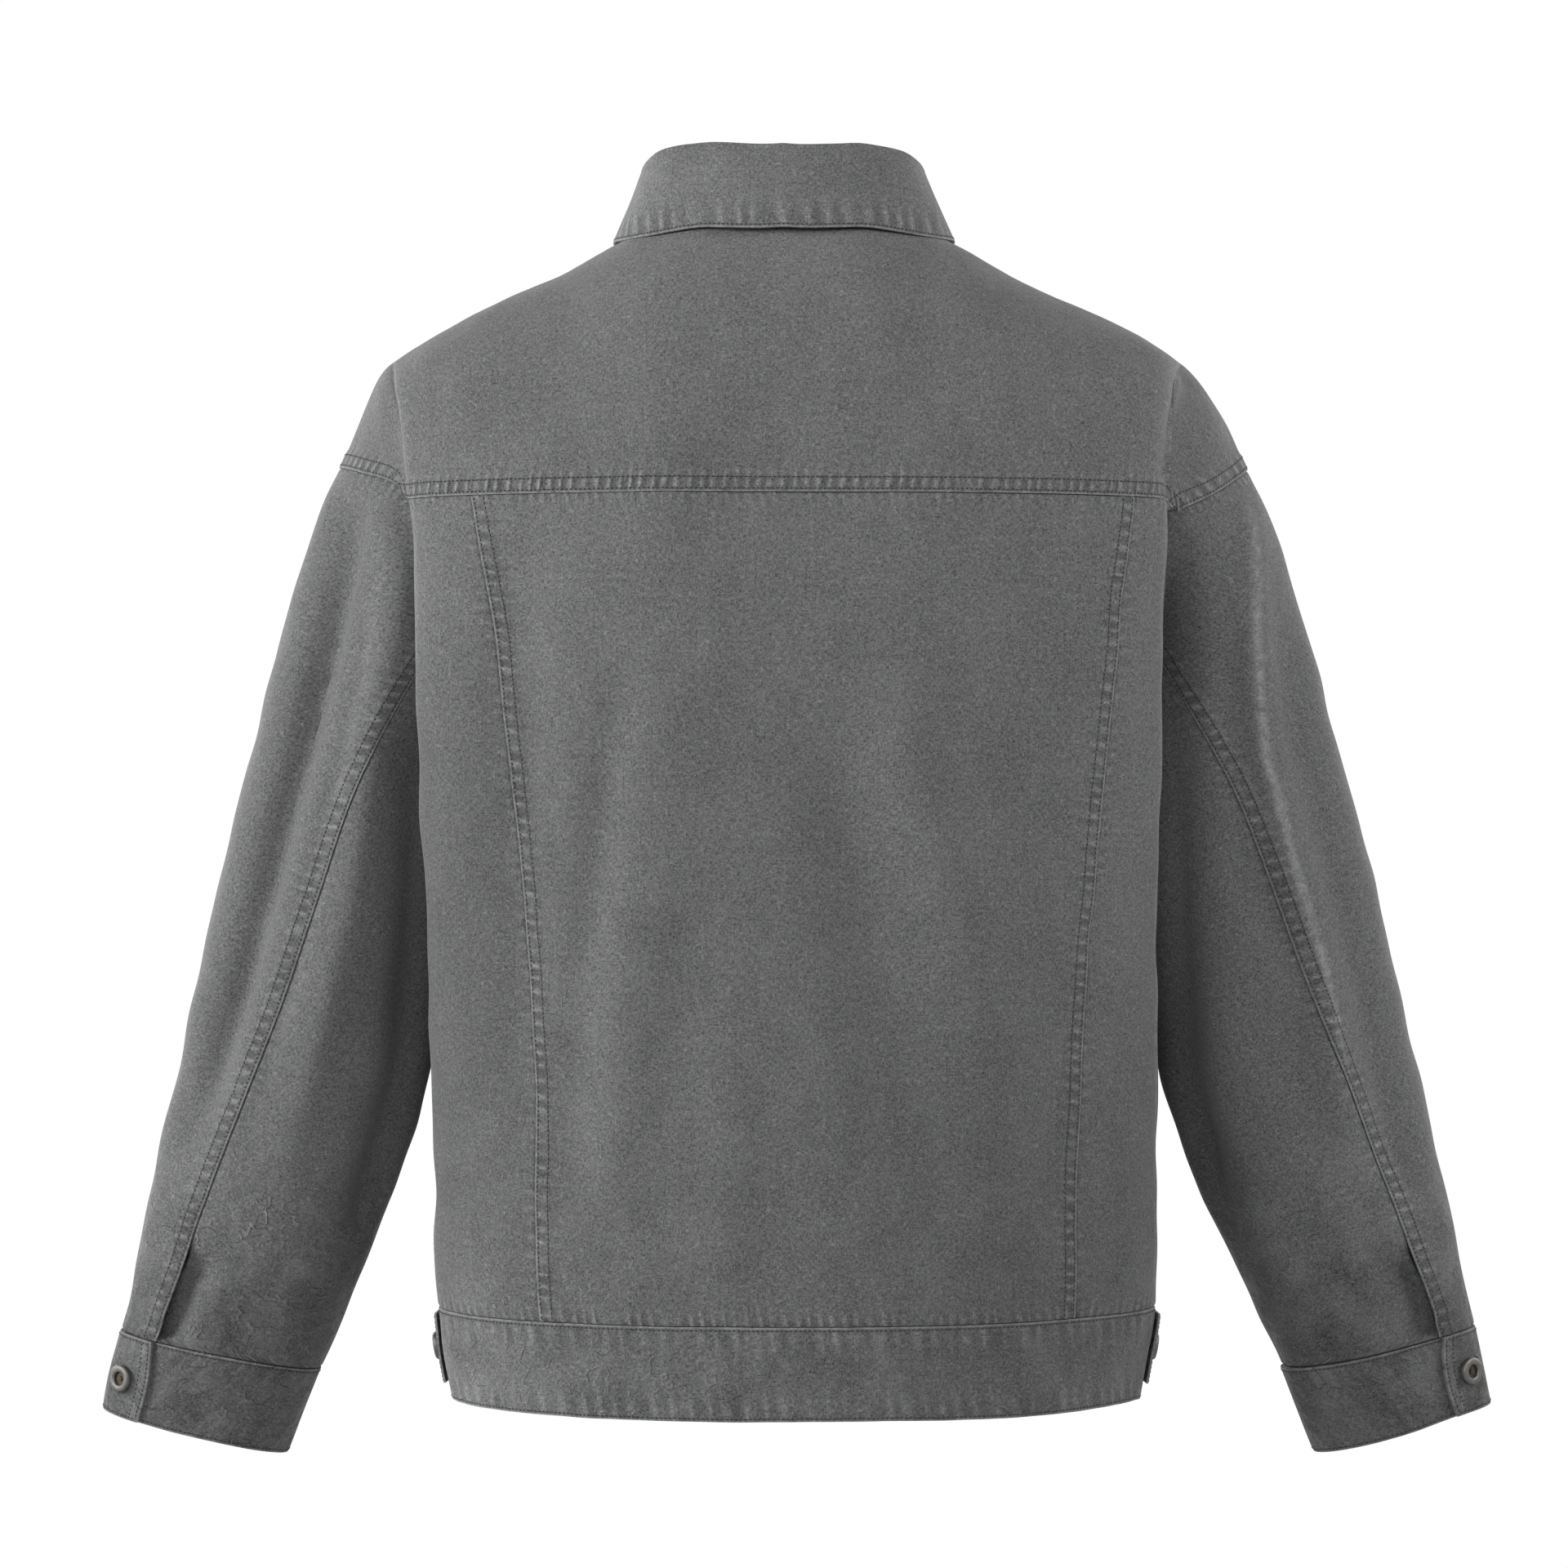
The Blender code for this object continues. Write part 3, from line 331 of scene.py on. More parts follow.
# Creases and soft folds: how the names of the pieces that take it begin, its face (1 behind, -1 in
# front), how wide it is, how far it rises, and where it runs: how far down, and how far out to the
# wearer's left
CREASES = (
    # the back, from the wearer's left to right
    ("", 1, 0.022, -0.0060, Table("drop x", (0.130, 0.152), (0.230, 0.151), (0.320, 0.149), (0.430, 0.146),
                                 (0.540, 0.143))),
    ("", 1, 0.011, 0.0018, Table("drop x", (0.460, 0.158), (0.520, 0.157), (0.585, 0.152))),
    ("", 1, 0.014, -0.0046, Table("drop x", (0.210, 0.086), (0.274, 0.094), (0.364, 0.106), (0.454, 0.114),
                                  (0.560, 0.118))),
    ("", 1, 0.030, 0.0032, Table("drop x", (0.225, 0.056), (0.291, 0.062), (0.378, 0.076), (0.448, 0.088),
                                 (0.560, 0.104))),
    ("", 1, 0.015, -0.0018, Table("drop x", (0.330, 0.044), (0.400, 0.052), (0.454, 0.060), (0.500, 0.070),
                                  (0.560, 0.078))),
    ("", 1, 0.018, 0.0018, Table("drop x", (0.040, 0.065), (0.120, 0.067), (0.220, 0.068))),
    ("", 1, 0.042, 0.0042, Table("drop x", (-0.020, 0.058), (0.073, 0.065), (0.140, 0.065), (0.230, 0.069),
                                 (0.330, 0.078))),
    ("", 1, 0.016, 0.0022, Table("drop x", (0.415, 0.026), (0.499, 0.031), (0.590, 0.026))),
    ("", 1, 0.022, -0.0074, Table("drop x", (0.250, -0.016), (0.364, -0.040), (0.454, -0.059),
                                  (0.543, -0.074), (0.600, -0.081))),
    ("", 1, 0.019, 0.0060, Table("drop x", (0.215, -0.056), (0.274, -0.069), (0.319, -0.081),
                                 (0.364, -0.096), (0.409, -0.107), (0.454, -0.118), (0.530, -0.132))),
    ("", 1, 0.018, -0.0030, Table("drop x", (0.200, -0.094), (0.275, -0.104), (0.319, -0.116),
                                  (0.380, -0.140))),
    ("", 1, 0.015, -0.0022, Table("drop x", (0.450, -0.145), (0.500, -0.152), (0.570, -0.164))),
    ("", 1, 0.024, -0.0016, Table("drop x", (0.020, 0.100), (0.070, 0.122), (0.120, 0.137))),
    ("", 1, 0.020, 0.0014, Table("drop x", (0.015, -0.095), (0.070, -0.115), (0.125, -0.122))),
    # beside the folds over the sleeves
    ("back", 1, 0.030, 0.0022, Table("drop x", (0.200, 0.190), (0.300, 0.187), (0.400, 0.184),
                                     (0.480, 0.180))),
    ("b", 1, 0.050, -0.0040, Table("drop x", (0.320, -0.120), (0.460, -0.150), (0.640, -0.170),
                                   (0.900, -0.190))),
    ("back_yoke", 1, 0.011, -0.0080, Table("drop x", (0.040, -0.240), (0.080, -0.2315), (0.105, -0.2255),
                                            (0.150, -0.2205))),
    # the fronts, from the wearer's left to right
    ("front", -1, 0.020, -0.0052, Table("drop x", (0.180, 0.140), (0.300, 0.132), (0.430, 0.128),
                                        (0.540, 0.131))),
    ("front", -1, 0.028, 0.0036, Table("drop x", (0.120, 0.085), (0.250, 0.092), (0.400, 0.104),
                                       (0.560, 0.098))),
    ("front", -1, 0.015, -0.0030, Table("drop x", (0.330, 0.062), (0.430, 0.070), (0.560, 0.066))),
    ("front", -1, 0.018, 0.0032, Table("drop x", (0.230, -0.056), (0.360, -0.066), (0.480, -0.072),
                                       (0.570, -0.068))),
    ("front", -1, 0.021, -0.0058, Table("drop x", (0.200, -0.095), (0.330, -0.108), (0.450, -0.118),
                                        (0.560, -0.112))),
    ("front", -1, 0.024, 0.0024, Table("drop x", (0.140, -0.140), (0.260, -0.148), (0.400, -0.140))),
    # the sleeves in front
    ("sleeve", -1, 0.013, -0.0062, Table("drop x", (0.200, 0.262), (0.300, 0.268), (0.400, 0.284),
                                         (0.500, 0.312))),
    ("sleeve", -1, 0.014, 0.0042, Table("drop x", (0.160, 0.232), (0.280, 0.240), (0.400, 0.258),
                                        (0.520, 0.290))),
    ("sleeve", -1, 0.013, -0.0060, Table("drop x", (0.190, -0.270), (0.300, -0.290), (0.400, -0.308),
                                         (0.500, -0.330))),
    ("sleeve", -1, 0.015, 0.0040, Table("drop x", (0.170, -0.240), (0.290, -0.252), (0.410, -0.276),
                                        (0.530, -0.306))),
    # left sleeve: a ridge along its elbow seam, a valley outside it, and a fall towards the body
    ("sleeve", 1, 0.014, 0.0066, Table("drop x", (0.080, 0.206), (0.136, 0.212), (0.182, 0.215),
                                       (0.228, 0.222), (0.274, 0.230), (0.320, 0.237), (0.366, 0.245),
                                       (0.412, 0.255), (0.458, 0.266), (0.550, 0.295))),
    ("sleeve", 1, 0.011, -0.0150, Table("drop x", (0.100, 0.236), (0.182, 0.253), (0.228, 0.263),
                                        (0.274, 0.273), (0.320, 0.286), (0.366, 0.299), (0.412, 0.312),
                                        (0.458, 0.326), (0.540, 0.352))),
    ("sleeve", 1, 0.017, -0.0140, Table("drop x", (0.240, 0.200), (0.274, 0.201), (0.366, 0.203),
                                        (0.412, 0.206), (0.458, 0.210), (0.504, 0.222), (0.550, 0.236),
                                        (0.605, 0.251))),
    # right sleeve
    ("sleeve", 1, 0.011, 0.0060, Table("drop x", (0.090, -0.257), (0.182, -0.264), (0.228, -0.266),
                                       (0.274, -0.269), (0.320, -0.279), (0.366, -0.291), (0.412, -0.304),
                                       (0.458, -0.311), (0.550, -0.329))),
    ("sleeve", 1, 0.010, -0.0066, Table("drop x", (0.180, -0.283), (0.274, -0.292), (0.320, -0.305),
                                        (0.366, -0.317), (0.412, -0.329), (0.458, -0.338),
                                        (0.560, -0.358))),
    ("sleeve", 1, 0.015, -0.0150, Table("drop x", (0.120, -0.213), (0.228, -0.215), (0.366, -0.218),
                                        (0.412, -0.221), (0.458, -0.225), (0.504, -0.234), (0.550, -0.246),
                                        (0.605, -0.262))),
)
# Painted highlights along the crests of the sleeves' folds, partly paled by rubbing: how pale, how wide, and
# where they run
CREST_HIGHLIGHTS = (
    (0.40, 0.0042, Table("drop x", (0.140, 0.223), (0.182, 0.228), (0.228, 0.234), (0.274, 0.243),
                         (0.320, 0.254), (0.366, 0.264), (0.412, 0.274), (0.458, 0.288),
                         (0.520, 0.305))),
    (1.15, 0.0024, Table("drop x", (0.110, -0.263), (0.200, -0.265), (0.274, -0.269), (0.320, -0.280),
                         (0.366, -0.293), (0.412, -0.307), (0.480, -0.322))),
)
CREASE_FADE = 0.22       # share of a crease's run over which it dies out at either end
CREASE_STEP = 0.004      # half the drop over which its lean is measured
CREASE_FACING = {"sleeve": (0.05, 0.55), "body": (0.0, 0.35)}    # how squarely the cloth faces to take it
SEAM_HOLD = 0.035        # a sleeve's creases start this far from its armhole
# Pale along the folds beside the sleeves, part rubbing and part painted highlight, with a painted shade line
# beside the pale line
CREASE_PALE = 0.55
CREASE_PAINTED_SHADE = 0.35
YOKE_PALE_LINE = (0.0020, 0.0017)          # how far inside the fold the pale line lies, and how wide it is
SIDE_PALE_LINE = (0.0048, 0.0028)
PAINTED_SHADE_PLACE = 0.0024
PAINTED_SHADE_WIDTH = 0.0014
# Rubbed pale over the doubled cloth at a cuff's lapped end: how pale, and how wide
CUFF_RUB = 0.24
CUFF_RUB_RUN = (0.0050, 0.0075)
CUFF_EDGE_RUB = 0.30
CUFF_EDGE_WIDTH = 0.0012
CUFF_WIDE_RUB = 0.16
CUFF_WIDE_WIDTH = 0.028

# Painted light and shade in the cloth's colour, by height, on the wearer's left, in the middle and on the
# right: lighter high up, deeper shade low down and on the sides beside the sleeves
PAINTED_LIGHT = Table("drop left middle right",
               (-0.02, 1.17, 1.17, 1.10),
               (0.08, 1.04, 1.08, 1.08),
               (0.20, 1.02, 1.04, 1.02),
               (0.30, 0.80, 1.00, 1.00),
               (0.42, 0.76, 0.97, 0.90),
               (0.52, 0.80, 0.94, 0.79),
               (0.60, 0.98, 0.93, 0.76),
               (0.65, 1.14, 0.93, 0.79))
PAINTED_LIGHT_XS = {"left": (0.10, 0.19), "right": (0.0, 0.14)}     # how far out the middle goes over to each side
# painted shade on the sleeves, deeper towards the cuffs, and the drops over which it comes in
CUFF_PAINTED_SHADE = 0.72
CUFF_PAINTED_SHADE_DROPS = (0.54, 0.62)
# Painted shadow of the body on the sleeves where they hang beside it: how far out it is deepest, and how deep
# on each side
BODY_SHADOW_PLACE = Table("drop left right", (0.10, 0.204, -0.212), (0.30, 0.200, -0.212), (0.45, 0.199, -0.216),
                  (0.54, 0.232, -0.245), (0.64, 0.262, -0.279))
BODY_SHADOW_WIDTH = 0.024
BODY_SHADOW = Table("drop left right", (0.10, 0.0, 0.32), (0.20, 0.0, 0.26), (0.30, 0.02, 0.05),
                (0.38, 0.18, 0.24), (0.46, 0.38, 0.50), (0.64, 0.38, 0.50))
# How crumpled the washing left some pieces, and the drops between which that grows
CRUMPLED_DROPS = {"sleeve": (0.46, 0.60), "body": (0.40, 0.62)}
CRUMPLED = {"cuff": 1.0, "sleeve": 0.85, "band": 0.60, "collar": 0.30, "back": 0.17, "front": 0.17}

# Puckers: how close together they are and how strong, 1 being the usual
USUAL_GATHER = (1.0, 1.0)
COLLAR_GATHER = (0.56, 1.0)
BAND_GATHER = (0.62, 0.62)
CUFF_GATHER = (0.8, 0.25)
SIDE_PUCKERS = (0.0080, 0.0090)      # metres apart along side seams, beside a lap and a turned edge
END_PUCKERS = (0.0064, 0.0066)       # and along cross seams

# Look of the sewing: (distance as a share of its reach, pucker, pale, painted shade), pale where rubbing
# paled the edges, and painted shade in the grooves beside them
LOOK_REACH = 0.024
LAPPED_LOOK = ((0.0, 0.0, 0.6, 0.0), (0.015, 0.1, 1.0, 0.0), (0.032, 0.1, 0.1, 0.0),
               (0.060, 0.2, 0.0, 0.18), (0.084, 0.7, 0.0, 0.15), (0.142, 1.0, 0.04, 0.0),
               (0.258, 1.0, 0.04, 0.0), (0.315, 0.6, 0.0, 0.15), (0.335, 0.2, 0.0, 0.65),
               (0.355, 0.4, 0.0, 0.10), (0.40, 0.45, 0.10, 0.0), (0.52, 0.15, 0.0, 0.0),
               (0.75, 0.0, 0.0, 0.0))
UNDER_LOOK = ((0.0, 0.3, 0.0, 1.0), (0.017, 0.3, 0.0, 0.8), (0.038, 0.4, 0.0, 0.12), (0.083, 0.4, 0.0, 0.0),
              (0.29, 0.12, 0.0, 0.0), (0.417, 0.0, 0.0, 0.0))
TURNED_LOOK = ((0.0, 0.1, 0.8, 0.0), (0.017, 0.1, 0.9, 0.0), (0.038, 0.1, 0.1, 0.0),
               (0.067, 0.2, 0.0, 0.55), (0.092, 0.6, 0.0, 0.1), (0.167, 0.9, 0.0, 0.0),
               (0.40, 0.7, 0.0, 0.0), (0.60, 0.3, 0.0, 0.0), (0.85, 0.0, 0.0, 0.0))
GATHER_START = 0.0085    # where the look of a turned edge starts for a panel gathered into a band
PUCKER_LEAN = 0.14
PUCKER_DRIFT = 9.0       # how unevenly they are spaced
PUCKER_SHARPNESS = 1.8
PUCKER_MIDDLE = 0.36     # what is taken off, so that they darken as much as they brighten
# how much the puckers are painted lighter on their crests and darker between: painted highlight and shade
# over their relief, partly paled by rubbing
PUCKER_TONE = 0.90
PUCKER_HEIGHT = 0.0014
CRUMPLE_HEIGHT = 0.0040
PAINTED_SHADE_TONE = -0.62      # how much painted shade takes off the cloth's colour in grooves, and how much the pale parts add, from rubbing and painted highlights
PALE_TONE = 0.85

# The canvas: width and length of each kind of grain, its detail and its roughness
CANVAS_COLOUR = (0.132, 0.133, 0.135)
WEFT = (0.0016, 0.0009)
WARP = (0.0018, 0.0008)
NAP = (0.0030, 0.0026, 2.0, 0.6)
MOTTLE = (0.0080, 0.0070, 3.0, 0.6)
CLOUD = (0.0800, 0.0650, 2.0)
GRAIN_TONES = (1.35, 1.20, 0.65, 0.34, 0.16)     # how much each of them shows, in that order
FIBRE = (0.0062, 0.0056, 1.0)
FIBRE_TONE = 0.40
CRUMPLE = (0.0220, 0.0170, 2.0, 0.55)
CRUMPLE_BREAKS = (0.0300, 0.0220, 1.0)
CRUMPLE_CLOUD = (0.0340, 0.0260, 2.0)
CREST_TONE = 0.50
CREST_HEIGHT = 0.30
CRUMPLE_CLOUD_TONE = 1.30
PUCKER_DRIFTS = (0.0280, 4.0, 2.0)
PUCKER_PATCHES = (0.0130, 0.0700, 1.0)
# Where they take hold: (value of the grain, how much), the last two places unused
FIBRE_STEPS = ((0.0, 1, 0, 0), (0.014, 0.5, 0, 0), (0.028, 0, 0, 0))
FIBRE_PLACES = ((0.50, 0, 0, 0), (0.60, 1, 0, 0))
CREST_STEPS = ((0.0, 1, 0, 0), (0.014, 0.4, 0, 0), (0.036, 0, 0, 0))
BREAK_STEPS = ((0.46, 0, 0, 0), (0.62, 1, 0, 0))
UNEVEN_PALE_STEPS = ((0.30, 0.45, 0, 0), (0.62, 1, 0, 0))
PATCH_STEPS = ((0.34, 0.35, 0, 0), (0.60, 1, 0, 0))
WEFT_SHARE = 0.6
WEAVE_STRENGTH = 0.55
WEAVE_HEIGHT = 0.00035
CANVAS_ROUGHNESS = 0.92
CANVAS_SPECULAR = 0.25
CANVAS_SHEEN = 0.10

# Ring buttons, as shares of their height and hole
RING_SIDES = 40
RING_BEVELS = 5
RING_TOP = 0.99          # whatever is above this share of the height is the top
RING_SINK = 0.62
RING_ROUND = 0.46
RING_EVEN = 0.02         # an edge round the ring keeps its distance from the middle to this share
HEAD_INSET = 0.60
HEAD_RISE = 0.20
SUNK_WITHIN = 0.96       # the sunk part is darker: within this share of the hole, below this of the height
SUNK_BELOW = 0.6
BUTTON_FOOT = 0.0005
BUTTON_STEP = 0.004      # half the drop over which the front's lean is measured
BAND_BUTTON_WAY = (0.0, -1.0, -0.13)

# Studio and camera
FLOOR_Z = -1.15
FLOOR_RADIUS = 1.9
FLOOR_SIDES = 96
FLOOR_GREY = 0.80
FLOOR_GLOW = 0.86        # what the floor gives to the camera alone
FLOOR_SHADED = 0.30      # and how much of its shaded look it keeps there
CAMERA_PLACE = (0.0, 2.5, -0.3015)
CAMERA_LENS = 100.0      # millimetres
CAMERA_SENSOR = 36.0
AMBIENT = 0.10
LAMPS = (("key_left", (3.0, 0.95, 0.4), (0.0, 0.0, -0.3), 1.5, 98.0),
         ("key_right", (-2.3, 0.75, 0.9), (0.0, 0.0, -0.1), 1.3, 36.0),
         ("front", (0.3, 3.2, 0.9), (0.0, 0.0, -0.3), 1.6, 33.0),
         ("far_left", (2.2, -2.6, 0.5), (0.0, 0.0, -0.3), 1.5, 60.0),
         ("far_right", (-2.2, -2.6, 0.5), (0.0, 0.0, -0.3), 1.5, 45.0))


# ---------------------------------------------------------------------------------------------------
# The body, collar and sleeves as plain forms

def unit(vector):
    """The same way, one metre long."""
    return vector / np.maximum(np.linalg.norm(vector, axis=-1, keepdims=True), 1e-9)


def blend(low, high, value):
    """0 below low, 1 above high, smooth between."""
    t = np.clip((value - low) / (high - low), 0.0, 1.0)
    return t * t * (3 - 2 * t)


def point(x, y, z):
    """Points from their three parts."""
    return np.stack(np.broadcast_arrays(x, y, z), axis=-1).astype(float)


def face_table(face):
    """Level sections of the back (1) or the fronts (-1)."""
    return BACK if face > 0 else FRONT


def section_y(face, part, drop):
    """Depth of a level section; part is 0 at the centre line and 1 at the crease."""
    table = face_table(face)
    crease = table.read("crease_y", drop)
    bow = np.clip(1 - np.abs(part) ** BOW_SQUARE, 0.0, 1.0) ** BOW_ROUND
    return crease + (table.read("middle", drop) - crease) * bow


def trunk(face, spread, level):
    """A point on the back or front; spread is degrees out from the centre line, 90 at the crease.

    A positive level is metres below the yoke seam.  A negative one is degrees of arch above it.
    """
    spread, level = np.broadcast_arrays(np.asarray(spread, float), np.asarray(level, float))
    part = np.sin(np.radians(spread))
    table = face_table(face)
    drop = YOKE_DROP + np.maximum(level, 0.0)
    arch = np.radians(np.maximum(-level, 0.0))
    rise = np.abs(np.sin(arch))
    run = np.abs(np.cos(arch)) * np.sign(np.cos(arch))
    crease_x = table.read("crease_x", drop)
    x = part * (crease_x + (RIDGE_END_X - crease_x) * rise)
    y = section_y(face, part, drop)
    lift = RIDGE.read("back" if face > 0 else "front", np.abs(x)) + YOKE_DROP
    if face > 0:
        near = np.maximum(run, 0.0) ** BACK_RUN
        beyond = np.maximum(-run, 0.0) ** FRONT_RUN
        other = section_y(-1, part, drop)
        z = np.where(run < 0, lift * rise, lift * rise ** BACK_RISE)
        y_high = RIDGE_Y + (y - RIDGE_Y) * near + (other - RIDGE_Y) * beyond
    else:
        z = lift * rise
        y_high = RIDGE_Y + (y - RIDGE_Y) * np.maximum(run, 0.0) ** FRONT_RUN
    high = level < 0
    return point(x, np.where(high, y_high, y), np.where(high, z - YOKE_DROP, -drop))


def armhole(turn):
    """A point on the armhole seam, at a turn round it."""
    turn = (np.asarray(turn, float) + 180.0) % 360.0 - 180.0
    return point(ARMHOLE.read("x", turn), ARMHOLE.read("y", turn), ARMHOLE.read("z", turn))


def beside(face, part, level, end):
    """A point from the crease (part 0) round to the armhole or side seam (part 1, at end)."""
    start = trunk(face, 90.0, level)
    drop = YOKE_DROP + np.maximum(level, 0.0)
    arch = np.radians(np.clip(-np.asarray(level, float), 0.0, 90.0))
    high = np.sin(arch)[..., None]
    inward = np.array([1.0, face, 1.0])
    free = blend(*FOLD_FREE, drop)[..., None]
    under = blend(*FOLD_UNDER, drop)[..., None]
    side_on = blend(*FOLD_SIDE_ON, drop)[..., None]
    leave = (LEAVE_YOKE * (1 - under) + LEAVE_CHEST * under) * (1 - free) + LEAVE_WAIST * free
    leave = unit(leave * inward * (1 - high) + LEAVE_SHOULDER * high)
    reach = unit(end - start) * (1 - side_on) + REACH_SIDE * inward * side_on
    reach = unit(reach * (1 - high) + REACH_SHOULDER * high)
    chord = np.linalg.norm(end - start, axis=-1, keepdims=True) * FOLD_FULLNESS
    t = np.asarray(part, float)[..., None]
    return (start * (1 + 2 * t) * (1 - t) ** 2 + end * t * t * (3 - 2 * t)
            + chord * (leave * t * (1 - t) ** 2 - reach * t * t * (1 - t)))


def neck_place(turn, width, back, front, point_out=0.0):
    """Spread and arch of a ring round the neck; turn is 0 at the middle of the back, 180 at the front."""
    spread = width * np.sin(np.radians(turn))
    around = np.cos(np.radians(turn))
    reach = np.where(around > 0, back, front) + point_out
    return spread, 90.0 - reach * around


def over(spread, arch):
    """A point on the shoulders from arch degrees up from the back yoke seam, 180 at the front."""
    arch = np.asarray(arch, float)
    back = trunk(1, spread, -np.clip(arch, TINY, 180.0))
    front = trunk(-1, spread, -np.clip(180.0 - arch, TINY, 90.0))
    ahead = blend(*SHOULDER_JOIN, arch)[..., None]
    return back * (1 - ahead) + front * ahead


def outward(function, u, v, step=1e-3):
    """Unit normal of a surface, from its own neighbouring points."""
    du = function(u + step, v) - function(u - step, v)
    dv = function(u, v + step) - function(u, v - step)
    return unit(np.cross(du, dv))


def sleeve_ring(turn, along):
    """A point on the sleeve without its armhole."""
    outer = point(SLEEVE.read("outer_x", along), SLEEVE.read("middle", along), SLEEVE.read("outer_z", along))
    inner = point(SLEEVE.read("inner_x", along), SLEEVE.read("middle", along), SLEEVE.read("inner_z", along))
    c = np.cos(np.radians(turn))
    s = np.sin(np.radians(turn))
    wide = np.sign(c) * np.abs(c) ** RING_SQUARE
    deep = np.sign(s) * np.abs(s) ** RING_SQUARE
    depth = SLEEVE.read("depth", along)
    across = point(0.0, deep * depth, 0.0)
    return (outer + inner) / 2 + (outer - inner) / 2 * np.asarray(wide)[..., None] + across


def sleeve(turn, along):
    """A point on the sleeve: turn 0 on the outer line, 90 behind; along 0 at the armhole, 1 at the cuff."""
    turn, along = np.broadcast_arrays(np.asarray(turn, float), np.asarray(along, float))
    near = np.clip(1 - along / SLEEVE_HEAD, 0.0, 1.0)[..., None] ** 2
    return sleeve_ring(turn, along) + (armhole(turn) - sleeve_ring(turn, np.zeros_like(along))) * near


def princess_spread(level, side=0):
    """Where the long seams of the back run, a little further round on the wearer's right."""
    drop = YOKE_DROP + np.maximum(level, 0.0)
    return np.degrees(np.arcsin((PRINCESS.read("x", drop) - side * BACK_TURN) / BACK.read("crease_x", drop)))


def collar_ring(turn):
    """The neck seam, the fold and the lower edge of the collar at a turn round the neck."""
    turn = np.asarray(turn, float)
    spread, arch = neck_place(turn, NECK_WIDTH, NECK_BACK, NECK_FRONT)
    neck = over(spread, arch)
    out = unit(point(np.sin(np.radians(turn)), np.cos(np.radians(turn)), 0.0))
    away = np.abs(turn)
    fold = neck + out * COLLAR.read("lean", away)[..., None] + point(0.0, 0.0, COLLAR.read("height", away))
    points = COLLAR_POINT * blend(*POINT_TURNS, away)
    edge_turn = turn * (1 - COLLAR_PULL * blend(*PULL_TURNS, away))
    spread, arch = neck_place(edge_turn, COLLAR_WIDTH, COLLAR_BACK, COLLAR_FRONT, points)
    normal = outward(over, spread, arch, 0.5)
    normal = normal * np.sign(normal[..., 2])[..., None]
    edge = over(spread, arch) + normal * COLLAR.read("stand_off", away)[..., None]
    return neck, out, fold, edge


def front_middle(x, drop):
    """A point near the centre front by its own x and drop below the origin, on the outer cloth."""
    spread = np.degrees(np.arcsin(x / FRONT.read("crease_x", drop)))
    return trunk(-1, spread, drop - YOKE_DROP)


def front_line(drop):
    """The middle of the front at a drop below the origin."""
    if drop > YOKE_DROP:
        return front_middle(0.0, drop)
    rise = (YOKE_DROP - drop) / (RIDGE.values["front"][0] + YOKE_DROP)
    return over(0.0, 180.0 - np.degrees(np.arcsin(rise)))


def cuff_button_place():
    """Middle and outward way of the button on a cuff."""
    turn, along = CUFF_BUTTON_TURN, CUFF_BUTTON_ALONG
    centre = (sleeve_ring(0.0, along) + sleeve_ring(180.0, along)) / 2
    place = sleeve_ring(turn, along)
    normal = outward(sleeve_ring, turn, along, 0.01)
    normal = normal * np.sign(np.dot(normal, place - centre))
    return place + unit(place - centre) * CUFF_STAND_OFF, normal


def sided(vector, side):
    """The same on the wearer's left (1) or right (-1)."""
    return vector * np.array([side, 1.0, 1.0])


def hang(points):
    """Let the garment hang slightly out of plumb and unevenly, a little to one side."""
    hung = points.copy()
    drop = -points[..., 2]
    aside = BODY_SWAY + SLEEVE_SWAY * blend(*SLEEVE_SWAY_XS, np.abs(points[..., 0]))
    hung[..., 0] -= LEAN * drop + aside * blend(*SWAY_DROPS, drop)
    for start, behind, x, z, reach, out, up in UNEVEN:
        near = np.exp(-((hung[..., 0] - x) ** 2 + (hung[..., 2] - z) ** 2) / reach ** 2)
        near = near * blend(start, start + UNEVEN_EASE, np.abs(hung[..., 0]))
        near = near * (1 - behind * (1 - blend(*BEHIND, hung[..., 1])))
        hung[..., 0] += out * near
        hung[..., 2] += up * near
    return hung


# ---------------------------------------------------------------------------------------------------
# The pieces as surfaces.  Each takes two places, across and down, and gives the point there.
# The left-hand one is described; the right-hand one is its mirror, but for the back's long seams.

def row_end(face, drop):
    """Where a level row of the body ends: on the armhole, or below it on the side seam."""
    turns = np.linspace(SHOULDER_TURN, 180.0, ARMHOLE_STEPS)
    turn = np.interp(drop, -armhole(turns * face)[:, 2], turns) * face
    on_side = point(SIDE.read("x", drop), SIDE.read("y", drop), -drop)
    return np.where((drop < SIDE.key[0])[..., None], armhole(turn), on_side)


def level_of(down):
    """Level below the yoke seam, for 0 at the seam to 1 at the waist."""
    return np.clip(down, 0.0, 1.0) * (WAIST_DROP - YOKE_DROP)


def back_panel(across, down):
    """-1 and 1 at the long seams, 0 at the centre back."""
    level = level_of(down)
    return trunk(1, across * princess_spread(level, np.where(across < 0, -1, 1)), level)


def back_side(across, down, side):
    """0 at the long seam, 1 on the crease, 2 at the armhole and side seam."""
    level = level_of(down)
    inner = princess_spread(level, side)
    panel = trunk(1, inner + (90.0 - inner) * np.clip(across, 0.0, 1.0), level)
    fold = beside(1, np.clip(across - 1, 0.0, 1.0), level, row_end(1, level + YOKE_DROP))
    fold[..., 2] -= HIDDEN_TUCK * np.clip(across - 1, 0.0, 1.0) * (1 - blend(0.0, HIDDEN_TUCK_RUN, level))
    return np.where((across <= 1)[..., None], panel, fold)


